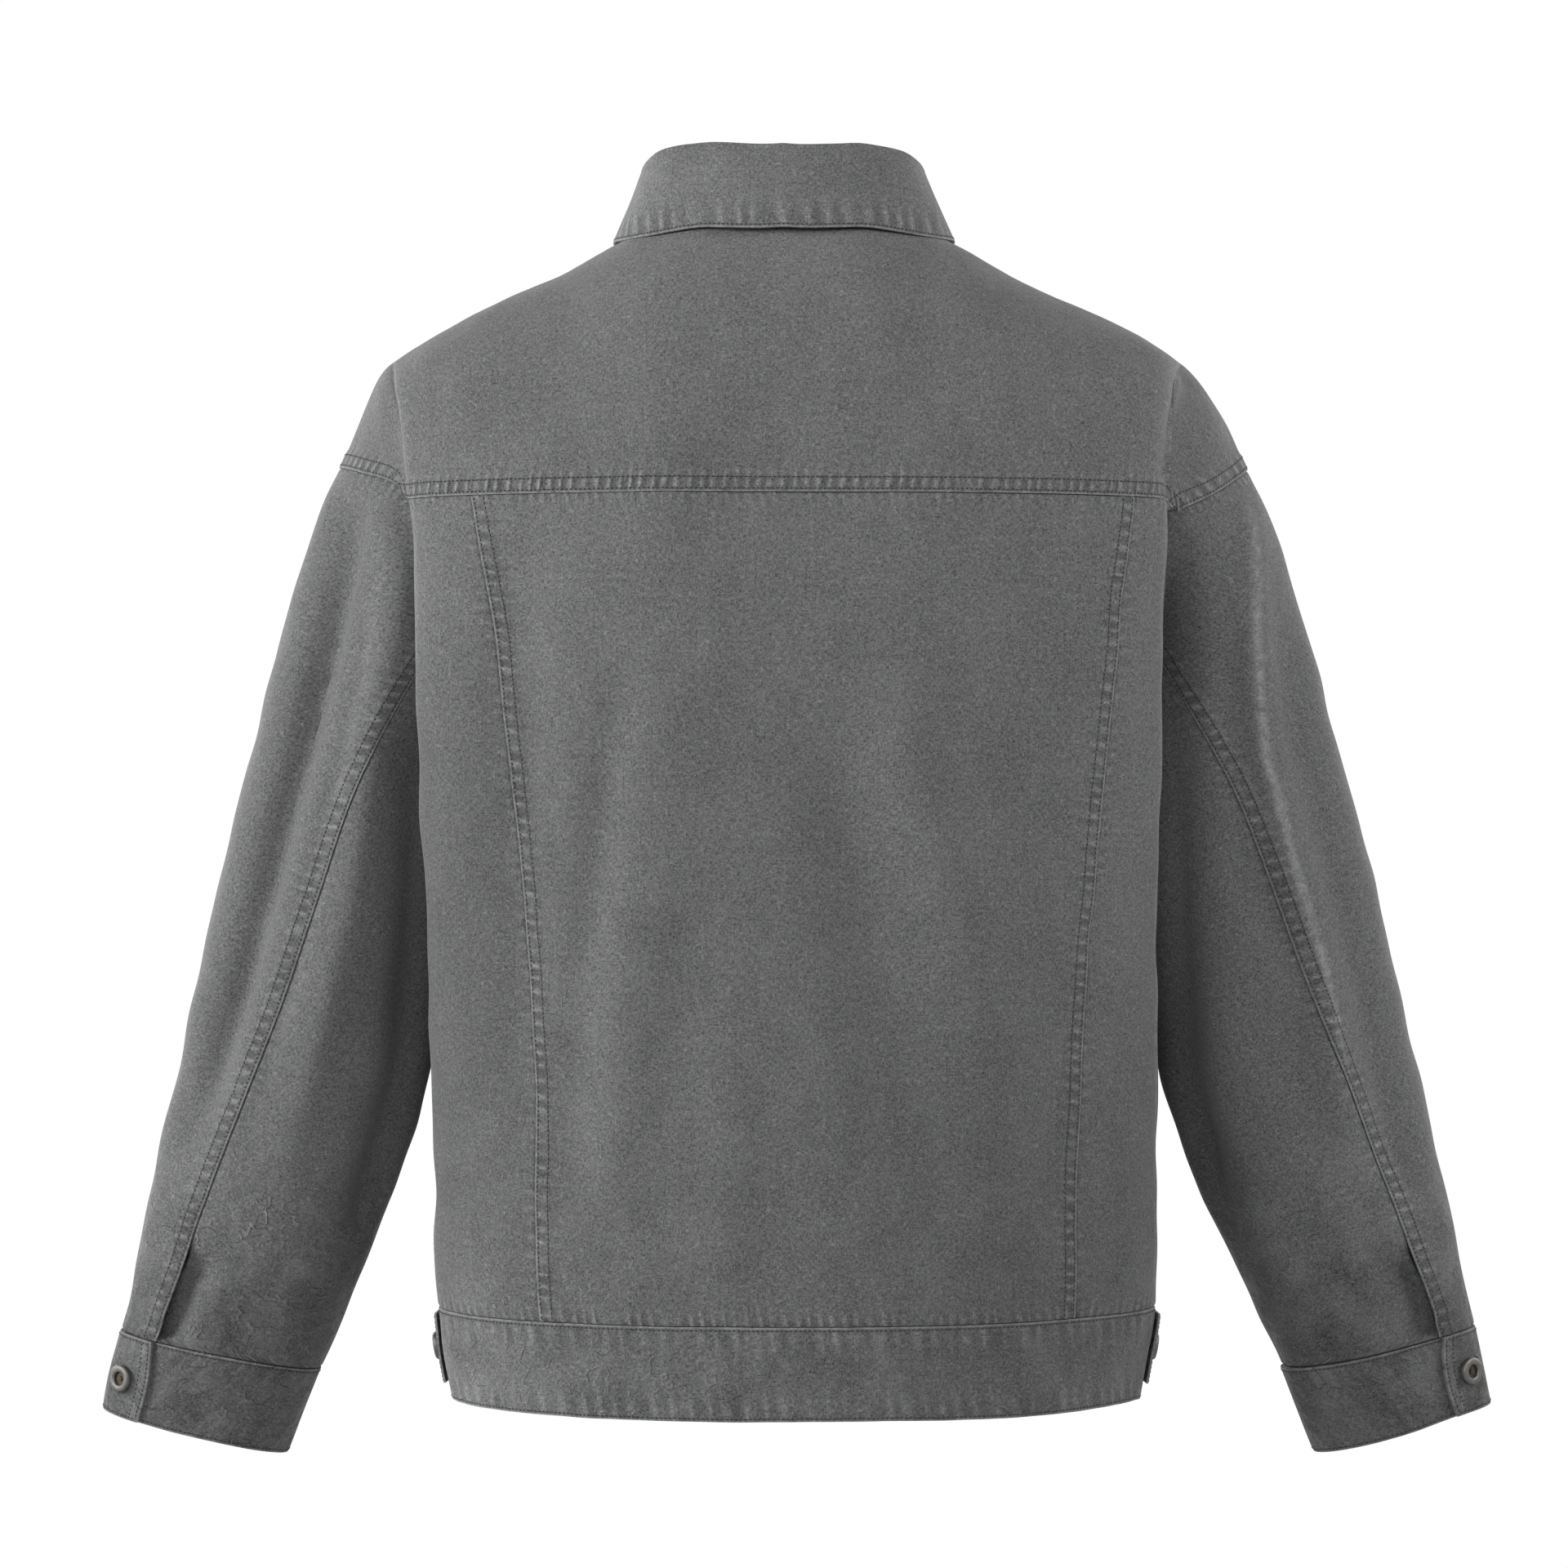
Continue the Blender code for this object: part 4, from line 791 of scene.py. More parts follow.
def yoke(across, rise):
    """0 at the centre back, 1 under the neck corner, 2 on the crease, 3 at the armhole; rise 1 in front."""
    part = np.abs(across)
    start = princess_spread(0.0)
    arch = SHOULDER_ARCH * rise
    in_neck = np.clip(part, 0.0, 1.0)
    top_spread, top_arch = neck_place(NECK_CORNER * in_neck, NECK_WIDTH, NECK_BACK, NECK_FRONT)
    low = start * in_neck
    neck_side = over(low + (top_spread - low) * rise ** YOKE_EASE, top_arch * rise)
    t = np.clip(part - 1, 0.0, 1.0)
    corner = neck_place(NECK_CORNER, NECK_WIDTH, NECK_BACK, NECK_FRONT)[0]
    low = start + (90.0 - start) * t
    top = corner + (90.0 - corner) * t
    shoulder = over(low + (top - low) * rise ** YOKE_EASE, arch)
    cap = shoulder_fold(arch, np.clip(part - 2, 0.0, 1.0))
    found = np.where((part <= 1)[..., None], neck_side, np.where((part <= 2)[..., None], shoulder, cap))
    return found * point(np.where(across < 0, -1.0, 1.0), 1.0, 1.0)


def shoulder_fold(arch, part):
    """From the crease over the end of the shoulder (part 0) out to the armhole (part 1)."""
    ends = armhole(SHOULDER_TURN - SHOULDER_TURN * arch / 90.0)
    behind = -np.clip(arch, TINY, 90.0)
    before = -np.clip(180.0 - arch, TINY, 90.0)
    ahead = (arch > 90.0)[..., None]
    fold = np.where(ahead, beside(-1, part, before, ends), beside(1, part, behind, ends))
    crease = np.where(ahead, trunk(-1, 90.0, before), trunk(1, 90.0, behind))
    return fold + (over(np.full_like(arch, 90.0), arch) - crease) * (1 - part)[..., None]


def front(across, down, tuck=0.0):
    """0 at the armhole, 1 on the crease, 2 below the neck corner, 3 and 4 at the fastening.

    Down runs from 0 at the shoulder and neck seams to 1 at the yoke's level and 2 at the waist.
    """
    upper = np.clip(down, 0.0, 1.0)
    level = level_of(down - 1)
    arch = SHOULDER_ARCH + (180.0 - SHOULDER_ARCH) * upper
    share = 1 - upper
    turn_in = 90.0 - FRONT_SPREAD
    edge = np.degrees(np.arcsin(OVERLAP / FRONT.values["crease_x"][0]))
    corner = neck_place(NECK_CORNER, NECK_WIDTH, NECK_BACK, NECK_FRONT)[0]
    t = np.clip(across - 1, 0.0, 1.0)
    low = 90.0 - turn_in * t
    shoulder = over(low + (corner - 90.0) * t * share + turn_in * t * share, arch)
    shoulder = np.where((down <= 1)[..., None], shoulder, trunk(-1, low, level))
    t = np.clip(across - 2, 0.0, 1.0)
    last = np.clip(across - 3, 0.0, 1.0)
    turn = NECK_CORNER + (180.0 - OVERLAP_TURN - NECK_CORNER) * t + 2 * OVERLAP_TURN * last
    top_spread, top_arch = neck_place(turn, NECK_WIDTH, NECK_BACK, NECK_FRONT)
    low = FRONT_SPREAD + (edge - FRONT_SPREAD) * t - 2 * edge * last
    inner = over(low + (top_spread - low) * share, 180.0 + (top_arch - 180.0) * share)
    inner = np.where((down <= 1)[..., None], inner, trunk(-1, low, level))
    part = 1 - np.clip(across, 0.0, 1.0)
    fold = np.where((down <= 1)[..., None], shoulder_fold(arch, part),
                    beside(-1, part, level, row_end(-1, level + YOKE_DROP)))
    found = np.where((across <= 1)[..., None], fold, np.where((across <= 2)[..., None], shoulder, inner))
    found[..., 1] += tuck * (1 - blend(*FRONT_TUCK_XS, found[..., 0]))
    return found


def placket(across, down):
    """The buttonhole strip, over the last part of the wearer's left front."""
    return front(3 + across, down)


def stand(turn, up):
    """0 at the neck seam, 1 just below the fold."""
    neck, out, fold, _ = collar_ring(turn)
    seat = neck + point(0.0, 0.0, np.full_like(turn, STAND_LIFT)) - out * STAND_INSET
    top = fold - point(0.0, 0.0, np.full_like(turn, STAND_SHORT))
    return seat + (top - seat) * up[..., None]


def fall(turn, down):
    """0 to 1 rolls over the fold, 1 to 2 comes down to the edge, which bows down at either side."""
    _, out, fold, edge = collar_ring(turn)
    away = np.abs(turn)
    low = COLLAR_DIP * blend(*DIP_TURNS, away) * (1 - blend(*DIP_END_TURNS, away))
    edge = edge - point(0.0, 0.0, low + COLLAR_DIP * MIDDLE_DIP * (1 - blend(*DIP_END_TURNS, away)))
    angle = np.pi * np.clip(down, 0.0, 1.0)
    roll = fold + out * (COLLAR_ROLL * (1 - np.cos(angle)))[..., None]
    roll = roll + point(0.0, 0.0, COLLAR_ROLL * np.sin(angle) + FALL_LIFT)
    t = np.clip(down - 1, 0.0, 1.0)[..., None]
    bow = COLLAR_BULGE * (1 - BULGE_LOSS * blend(*BULGE_TURNS, away))[..., None]
    return roll + (edge - roll) * t + out * bow * np.sin(np.pi * t)


def upper_sleeve(across, along):
    """0 at the front seam, 1 at the elbow seam."""
    first, last = SLEEVE_SEAM.read("front", along), SLEEVE_SEAM.read("elbow", along)
    return sleeve(first + (last - first) * across, along)


def under_sleeve(across, along):
    """0 at the elbow seam, where it runs on under the upper sleeve at the slit, 1 at the front seam."""
    beside_slit = blend(*SLIT_START, along) * (1 - blend(*SLIT_END, along))
    across = across - SLIT_TUCK * beside_slit * (1 - across) ** 2
    first, last = SLEEVE_SEAM.read("elbow", along), SLEEVE_SEAM.read("front", along) + 360.0
    return sleeve(first + (last - first) * across, along)


def cuff(turn, along):
    """Once round the sleeve's end, from the end that lies underneath to the one buttoned over it."""
    last = CUFF_END_TURN + 360.0
    down = np.clip((along - 1.0) / CUFF_DEEP, 0, 1)
    end = CUFF_END_BOW * np.sin(np.pi * down) + CUFF_END_LEAN * down
    turn = turn + end * blend(last - CUFF_END_RUN, last, turn)
    centre = (sleeve_ring(np.zeros_like(turn), along) + sleeve_ring(np.full_like(turn, 180.0), along)) / 2
    place = sleeve_ring(turn, along)
    first = CUFF_END_TURN - CUFF_UNDERLAP_TURN
    under = 1 - blend(first + CUFF_UNDER_RUN[0], first + CUFF_UNDER_RUN[1], turn)
    out = CUFF_STAND_OFF - (BAND_CLOTH + CUFF_UNDER_GAP) * under
    return place + unit(place - centre) * out[..., None]


def band_back(across, drop):
    """0 at the centre back, 1 on the crease, 2 at the side seam, the same on both sides."""
    part = np.abs(across)
    level = drop - YOKE_DROP
    ends = point(SIDE.read("x", drop), SIDE.read("y", drop), -drop)
    middle = trunk(1, 90.0 * np.clip(part, 0.0, 1.0), level)
    side = beside(1, np.clip(part - 1, 0.0, 1.0), level, ends)
    return np.where((part <= 1)[..., None], middle, side) * point(np.where(across < 0, -1.0, 1.0), 1.0, 1.0)


def band_front(across, drop, tuck=0.0):
    """0 at the side seam, 1 on the crease, 2 at the fastening."""
    level = drop - YOKE_DROP
    ends = point(SIDE.read("x", drop), SIDE.read("y", drop), -drop)
    edge = -np.degrees(np.arcsin(OVERLAP / FRONT.values["crease_x"][-1]))
    side = beside(-1, 1 - np.clip(across, 0.0, 1.0), level, ends)
    middle = trunk(-1, 90.0 + (edge - 90.0) * np.clip(across - 1, 0.0, 1.0), level)
    found = np.where((across <= 1)[..., None], side, middle)
    found[..., 1] += tuck * (1 - blend(*BAND_TUCK_XS, found[..., 0]))
    return found


def waist_tab(across, drop):
    """The strap at the side, from its sewn end in front (0) to its free end behind (2)."""
    level = drop - YOKE_DROP
    ends = point(SIDE.read("x", drop), SIDE.read("y", drop), -drop)
    before = beside(-1, np.clip(across, 0.0, TAB_JOIN), level, ends)
    behind = beside(1, np.clip(2 - across, 0.0, TAB_JOIN), level, ends)
    join = np.clip((across - TAB_JOIN) / TAB_JOIN_RUN, 0.0, 1.0)[..., None]
    return before * (1 - join) + behind * join


# ---------------------------------------------------------------------------------------------------
# Cloth

def arc(points, axis):
    """Length along a grid of points in one direction, from 0 on its first row."""
    run = np.linalg.norm(np.diff(points, axis=axis), axis=-1)
    return np.concatenate([np.zeros_like(np.take(run, [0], axis=axis)), np.cumsum(run, axis=axis)], axis=axis)


def graded(line, low, high, pitch, close=(), finest=0.0006, growth=0.13):
    """Places from low to high, pitch apart in metres along a line and closer near the close ones.

    Beside those they are the finest distance apart, and it grows by that share of the way gone.
    """
    dense = np.linspace(low, high, RUN_STEPS)
    run = np.linalg.norm(np.diff(line(dense), axis=0), axis=-1)
    length = np.concatenate([[0.0], np.cumsum(run)])
    step = np.full(len(dense), pitch)
    for place in close:
        step = np.minimum(step, finest + growth * np.abs(length - np.interp(place, dense, length)))
    count = np.concatenate([[0.0], np.cumsum(run * 2 / (step[1:] + step[:-1]))])
    wanted = np.linspace(0.0, count[-1], max(int(np.ceil(count[-1])), 2) + 1)
    return np.interp(wanted, count, dense)


def unevenness(points):
    """The slight waviness that canvas keeps everywhere after washing, the same on both sides of a seam."""
    rng = np.random.default_rng(WAVE_SEED)
    height = np.zeros(points.shape[:-1])
    for size, amount in WAVES:
        for _ in range(WAVES_OF_A_KIND):
            way = rng.normal(size=3)
            way = way / np.linalg.norm(way)
            start = rng.uniform(0, 6.28)
            height += amount * np.sin(points @ way * (2 * np.pi / size) + start) / WAVE_CROWD
    return height


def drape(name, points, normals, from_armhole):
    """Creases and soft folds, laid over whatever pieces they cross."""
    height = unevenness(points)
    drop = -points[..., 2]
    for pieces, face, width, rise, run in CREASES:
        if not name.startswith(pieces):
            continue
        low, high = run.key[0], run.key[-1]
        lean = (run.read("x", drop + CREASE_STEP) - run.read("x", drop - CREASE_STEP)) / (2 * CREASE_STEP)
        away = (points[..., 0] - run.read("x", drop)) / np.sqrt(1 + lean ** 2)
        t = (drop - low) / (high - low)
        part = "sleeve" if name.startswith("sleeve") else "body"
        facing = blend(*CREASE_FACING[part], normals[..., 1] * face)
        crease = rise * np.exp(-(away / width) ** 2) * facing
        crease = crease * blend(0.0, CREASE_FADE, t) * blend(0.0, CREASE_FADE, 1 - t)
        if pieces and name.startswith("sleeve"):
            crease = crease * blend(0.0, SEAM_HOLD, from_armhole)
        height = height + crease
    return height


def painted_light_and_shade(name, points):
    """Painted light and shade in each place's colour, 1 being the cloth's own colour; the sleeves get painted
    shade towards the cuffs and beside the body.
    """
    drop, x = -points[..., 2], points[..., 0]
    left, middle, right = (PAINTED_LIGHT.read(word, drop) for word in ("left", "middle", "right"))
    tone = middle + (left - middle) * blend(*PAINTED_LIGHT_XS["left"], x)
    tone = tone + (right - middle) * blend(*PAINTED_LIGHT_XS["right"], -x)
    sleeve_tone = 1.0 + (CUFF_PAINTED_SHADE - 1.0) * blend(*CUFF_PAINTED_SHADE_DROPS, drop)
    # the body's painted shadow on the sleeves beside it
    for word, side in (("left", 1), ("right", -1)):
        near = np.exp(-((x - BODY_SHADOW_PLACE.read(word, drop)) / BODY_SHADOW_WIDTH) ** 2) * (x * side > 0)
        sleeve_tone = sleeve_tone * (1 - BODY_SHADOW.read(word, drop) * near)
    return sleeve_tone if name.startswith(("sleeve", "cuff")) else tone


def crest_highlights(name, points, normals):
    """Painted highlights along the crests of a sleeve's folds, behind, partly paled by rubbing."""
    pale = np.zeros(points.shape[:-1])
    drop = -points[..., 2]
    for amount, width, run in CREST_HIGHLIGHTS:
        away = (points[..., 0] - run.read("x", drop)) / width
        t = (drop - run.key[0]) / (run.key[-1] - run.key[0])
        pale += amount * np.exp(-away ** 2) * blend(0.0, CREASE_FADE, t) * blend(0.0, CREASE_FADE, 1 - t)
    return pale * blend(*CREASE_FACING["body"], normals[..., 1]) * name.startswith("sleeve")


def gathered(name, gather, points):
    """How close together a piece's puckers are, how strong they are, and how crumpled its cloth is."""
    crumpled = np.full(points.shape[:-1], CRUMPLED.get(name.split("_")[0], 0.0))
    if name.startswith("sleeve"):
        crumpled = crumpled * blend(*CRUMPLED_DROPS["sleeve"], -points[..., 2])
    elif name.startswith(("back", "front")):
        crumpled = crumpled * (1 + blend(*CRUMPLED_DROPS["body"], -points[..., 2]))
    return np.stack([np.full_like(crumpled, gather[0]), np.full_like(crumpled, gather[1]), crumpled], axis=-1)


def sewn_height(kinds, lengths):
    """How a piece rises at its lapped edges and dips where it goes under another one."""
    raised = np.zeros_like(lengths[0])
    dipped = np.zeros_like(lengths[0])
    for kind, away in zip(kinds, lengths):
        if kind == "l":
            strip = LAP_RISE * (1 - blend(LAP_WIDTH, LAP_WIDTH + LAP_EASE, away))
            raised = np.maximum(raised, strip)
        if kind in "ltd":
            dipped -= EDGE_ROLL * (1 - blend(0.0, EDGE_ROLL_RUN, away))
        if kind in "ug":
            dipped -= UNDER_DIP * (1 - blend(0.0, UNDER_DIP_RUN, away))
    return raised + dipped


def sewn_distances(kinds, lengths):
    """Distances to the nearest lapped, under and turned edge, for the look of their sewing."""
    found = np.full(lengths[0].shape + (3,), FAR_FROM_SEWING)
    for kind, away in zip(kinds, lengths):
        if kind in "lutdg":
            place = min("lutdg".index(kind), 2)     # t, d and g are all turned edges
            found[..., place] = np.minimum(found[..., place], away + GATHER_START * (kind == "g"))
    return found


def flat_place(name, points, width, length):
    """Where each point lies on the flat cloth, out from its middle; a sleeve's out from its elbow seam."""
    if not name.startswith("sleeve"):
        return np.stack([width - width[len(width) // 2], length], axis=-1)
    axis = unit(points[:, -1].mean(axis=0) - points[:, 0].mean(axis=0))
    level = points @ axis
    around = arc(points - level[..., None] * axis, 0)
    return np.stack([around - around[-1:] * name.startswith("sleeve_upper"), level], axis=-1)


def piece_from(name, outer, inner, cloth_place, values, finish):
    """A closed thin wall from two grids of points."""
    across, down = outer.shape[:2]
    count = across * down
    index = np.arange(count).reshape(across, down)
    quads = np.stack([index[:-1, :-1], index[1:, :-1], index[1:, 1:], index[:-1, 1:]], axis=-1).reshape(-1, 4)
    rim = np.concatenate([index[:-1, 0], index[-1, :-1], index[1:, -1][::-1], index[0, 1:][::-1]])
    ahead = np.roll(rim, -1)
    walls = np.stack([rim, rim + count, ahead + count, ahead], axis=-1)
    faces = np.concatenate([quads, quads[:, ::-1] + count, walls])
    points = np.concatenate([outer.reshape(-1, 3), inner.reshape(-1, 3)])
    mesh = bpy.data.meshes.new(name)
    mesh.from_pydata(points.tolist(), [], faces.tolist())
    corner = np.empty(len(mesh.loops), dtype=np.int32)
    mesh.loops.foreach_get("vertex_index", corner)
    layer = mesh.uv_layers.new(name="cloth")
    place = np.concatenate([cloth_place.reshape(-1, 2)] * 2)
    layer.data.foreach_set("uv", place[corner].ravel())
    for key, value in values.items():
        both = np.concatenate([value.reshape(count, -1)] * 2).ravel()
        kind, field = ("FLOAT", "value") if value.ndim == 2 else ("FLOAT_VECTOR", "vector")
        mesh.attributes.new(key, kind, "POINT").data.foreach_set(field, both)
    mesh.polygons.foreach_set("use_smooth", [True] * len(faces))
    mesh.set_sharp_from_angle(angle=np.radians(SHARP_ANGLE))
    return link(name, mesh, finish)


def link(name, mesh, finish):
    """Put a new mesh in the scene as a piece with its finish."""
    piece = bpy.data.objects.new(name, mesh)
    mesh.materials.append(finish)
    bpy.context.scene.collection.objects.link(piece)
    return piece


def at_distance(grid, lengths, distance):
    """The line across a grid's columns at a distance from its first row."""
    place = np.clip((lengths < distance).sum(axis=0), 1, len(lengths) - 1)
    column = np.arange(lengths.shape[1])
    before, after = lengths[place - 1, column], lengths[place, column]
    t = ((distance - before) / np.maximum(after - before, 1e-9))[:, None]
    return grid[place - 1, column] * (1 - t) + grid[place, column] * t


def stitches(line, normals):
    """Middle, way and normal of each stitch along a line."""
    run = np.concatenate([[0.0], np.cumsum(np.linalg.norm(np.diff(line, axis=0), axis=-1))])
    places = np.arange(STITCH_START + STITCH_PITCH / 2, run[-1] - STITCH_START, STITCH_PITCH)
    if len(places) < 2:
        return np.zeros((0, 3, 3))

    def along(values, at):
        return np.stack([np.interp(at, run, values[:, k]) for k in range(3)], axis=-1)

    middle = along(line, places)
    ahead = 0.0008
    way = unit(along(line, places + ahead) - along(line, places - ahead))
    return np.stack([middle, way, unit(along(normals, places))], axis=1)


def stitch_mesh(name, rows, finish):
    """All of a piece's stitches as one mesh, each a short round thread sunk at both ends."""
    found = np.concatenate(rows)
    middle, way, up = found[:, 0], found[:, 1], found[:, 2]
    side = unit(np.cross(up, way))
    up = np.cross(way, side)
    # one stitch, as shares of its length, width and rise: a point at either end and two rings of four
    shape = [(-0.5, 0.0, -0.8)]
    for x in (-0.27, 0.27):
        shape += [(x, -0.5, 0.0), (x, 0.0, 1.0), (x, 0.5, 0.0), (x, 0.0, -0.6)]
    shape = np.array(shape + [(0.5, 0.0, -0.8)]) * (STITCH_LENGTH, STITCH_WIDTH, STITCH_RISE)
    faces = []
    for k in range(4):
        n = (k + 1) % 4
        faces += [(0, 1 + n, 1 + k), (1 + k, 1 + n, 5 + n), (1 + k, 5 + n, 5 + k), (5 + k, 5 + n, 9)]
    points = (middle[:, None] + way[:, None] * shape[None, :, :1] + side[:, None] * shape[None, :, 1:2]
              + up[:, None] * shape[None, :, 2:])
    base = np.arange(len(found))[:, None, None] * len(shape)
    mesh = bpy.data.meshes.new(name)
    faces = (np.array(faces)[None] + base).reshape(-1, 3)
    mesh.from_pydata(points.reshape(-1, 3).tolist(), [], faces.tolist())
    mesh.polygons.foreach_set("use_smooth", [True] * len(mesh.polygons))
    return link(name, mesh, finish)


def tailor(name, surface, across, down, edges, wall=CLOTH, side=1, turned=False, gap=SEAM_GAP, out=0.0,
           rub_and_painted_light=None, shape=None, quiet=1.0, fine=((), ()), gather=USUAL_GATHER):
    """Make one piece of cloth and its stitching, put both under the root body and hide the model's part of
    that name.

    edges has a letter for each edge: l laps over its neighbour, u goes under it, g goes under it and
    is gathered, t is turned and stitched, d is turned and stitched twice, - is plain.  The first two
    are where across starts and ends, the others down.  A turned piece is one whose surface runs so
    that its normals come out inwards.  quiet is the share of the creases that it takes, fine gives
    the places beside which its points lie closer, and gather its puckers.
    """
    middle = (across[0] + across[1]) / 2, (down[0] + down[1]) / 2
    close_across = [across[k] for k in (0, 1) if edges[k] != "-"] + list(fine[0])
    close_down = [down[k] for k in (0, 1) if edges[2 + k] != "-"] + list(fine[1])
    pitch = PITCH.get(name, PITCH["other"])
    u = graded(lambda t: surface(t, np.full_like(t, middle[1])), *across, pitch, close_across)
    v = graded(lambda t: surface(np.full_like(t, middle[0]), t), *down, pitch, close_down)
    u, v = np.meshgrid(u, v, indexing="ij")
    points = surface(u, v)
    for axis in (0, 1):
        for edge, inner in ((0, 1), (-1, -2)):
            a, b = np.take(points, edge, axis=axis), np.take(points, inner, axis=axis)
            apart = np.minimum(gap / 2, EDGE_MOST * np.linalg.norm(b - a, axis=-1))[..., None]
            shift = unit(b - a) * np.where(edges[2 * axis - edge] == "l", -LAP_OVER, apart)
            if axis == 0:
                points[edge] += shift
            else:
                points[:, edge] += shift
    points = hang(points * np.array([side, 1.0, 1.0]))
    normals = unit(np.cross(np.gradient(points, axis=0), np.gradient(points, axis=1)))
    normals *= (-1 if turned else 1) * side
    width, length = arc(points, 0), arc(points, 1)
    lengths = [width, width[-1:] - width, length, length[:, -1:] - length]
    height = out + drape(name, points, normals, lengths[2]) * quiet + sewn_height(edges, lengths)
    if shape is not None:
        height = height + shape(u, v, points, lengths)
    outer = points + normals * height[..., None]
    place = flat_place(name, points, width, length) + len(finished) * PIECE_SHIFT
    # pale and shaded marks: paled by rubbing, painted highlights on fold crests, painted shade beside the
    # folds
    pale_and_shade_marks = crest_highlights(name, points, normals)
    if rub_and_painted_light is not None:
        pale_and_shade_marks = pale_and_shade_marks + rub_and_painted_light(u, v, points, lengths)
    values = {"side": sewn_distances(edges[:2], lengths[:2]), "end": sewn_distances(edges[2:], lengths[2:]),
              "rub_and_painted_light": pale_and_shade_marks, "painted_light_and_shade": painted_light_and_shade(name, points),
              "gather": gathered(name, gather, points)}
    piece = piece_from(name + "_cloth", outer, outer - normals * wall, place, values, canvas)
    if (side < 0) != turned:
        piece.data.flip_normals()
    rows = []
    for k, kind in enumerate(edges):
        grid, lean, away = outer, normals, lengths[k]
        if k >= 2:
            grid, lean, away = (np.swapaxes(x, 0, 1) for x in (grid, lean, away))
        if k % 2:
            grid, lean, away = grid[::-1], lean[::-1], away[::-1]
        for distance in STITCH_ROWS.get(kind, ()):
            rows.append(stitches(at_distance(grid, away, distance), at_distance(lean, away, distance)))
    if rows:
        sewing = stitch_mesh(name + "_stitching", rows, thread)
        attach(sewing, "root")
    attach(piece, "root")
    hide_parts(name)
    finished.append(piece)
    return piece


# ---------------------------------------------------------------------------------------------------
# Finishes

def node(tree, kind, *sources, **settings):
    """A node with its first sockets filled in order, each from another node or with a value."""
    made = tree.nodes.new("ShaderNode" + kind)
    for key, value in settings.items():
        setattr(made, key, value)
    for socket, source in zip(made.inputs, sources):
        if isinstance(source, bpy.types.NodeSocket):
            tree.links.new(source, socket)
        elif source is not None:
            socket.default_value = source
    return made


def maths(tree, operation, *sources):
    """What a sum of other nodes and values comes to."""
    return node(tree, "Math", *sources, operation=operation).outputs[0]


def grain(tree, place, across, down, detail=2.0, roughness=0.5):
    """Noise whose grains are this wide and this long, in metres."""
    sized = node(tree, "VectorMath", place, (1 / across, 1 / down, 1.0), operation='MULTIPLY').outputs[0]
    noise = node(tree, "TexNoise", sized, noise_dimensions='2D')
    noise.inputs["Scale"].default_value = 1.0
    noise.inputs["Detail"].default_value = detail
    noise.inputs["Roughness"].default_value = roughness
    return noise.outputs[0]


def stepped(tree, value, *stops):
    """Three values read from stops of (place, first, second, third)."""
    ramp = node(tree, "ValToRGB", value)
    points = ramp.color_ramp.elements
    while len(points) < len(stops):
        points.new(1.0)
    for element, (place, *colour) in zip(points, stops):
        element.position = place
        element.color = (*colour, 1.0)
    return node(tree, "SeparateColor", ramp.outputs[0]).outputs


def pucker_wave(tree, place, spacing):
    """Bars across a seam, about this far apart; the place's first part runs along the seam."""
    along, across, _ = node(tree, "SeparateXYZ", place).outputs
    leaning = maths(tree, 'MULTIPLY_ADD', across, PUCKER_LEAN, along)
    gather = node(tree, "Attribute", attribute_name="gather").outputs["Vector"]
    leaning = maths(tree, 'MULTIPLY', leaning, node(tree, "SeparateXYZ", gather).outputs[0])
    drift = maths(tree, 'MULTIPLY', grain(tree, place, *PUCKER_DRIFTS), PUCKER_DRIFT)
    turn = maths(tree, 'MULTIPLY_ADD', leaning, 2 * np.pi / spacing, drift)
    wave = maths(tree, 'MULTIPLY_ADD', maths(tree, 'SINE', turn), 0.5, 0.5)
    return maths(tree, 'SUBTRACT', maths(tree, 'POWER', wave, PUCKER_SHARPNESS), PUCKER_MIDDLE)


def sewing_look(tree, name, place, lapped_spacing, turned_spacing):
    """Puckers, edges paled by rubbing and painted shade in the grooves beside the edges that an attribute
    measures from.
    """
    measured = node(tree, "Attribute", attribute_name=name).outputs["Vector"]
    reach = node(tree, "VectorMath", measured, (1 / LOOK_REACH,) * 3, operation='MULTIPLY').outputs[0]
    away = node(tree, "SeparateXYZ", reach).outputs
    looks = (LAPPED_LOOK, UNDER_LOOK, TURNED_LOOK)
    kinds = [stepped(tree, away[k], *stops) for k, stops in enumerate(looks)]
    _, pale, painted_shade = (maths(tree, 'MAXIMUM', maths(tree, 'MAXIMUM', a, b), c) for a, b, c in zip(*kinds))
    patches = grain(tree, place, *PUCKER_PATCHES)
    strength = stepped(tree, patches, *PATCH_STEPS)[0]
    beside_lap = maths(tree, 'MAXIMUM', kinds[0][0], kinds[1][0])
    pucker = maths(tree, 'MULTIPLY', beside_lap, pucker_wave(tree, place, lapped_spacing))
    pucker = maths(tree, 'MULTIPLY_ADD', kinds[2][0], pucker_wave(tree, place, turned_spacing), pucker)
    gather = node(tree, "Attribute", attribute_name="gather").outputs["Vector"]
    strength = maths(tree, 'MULTIPLY', strength, node(tree, "SeparateXYZ", gather).outputs[1])
    return maths(tree, 'MULTIPLY', pucker, strength), pale, painted_shade


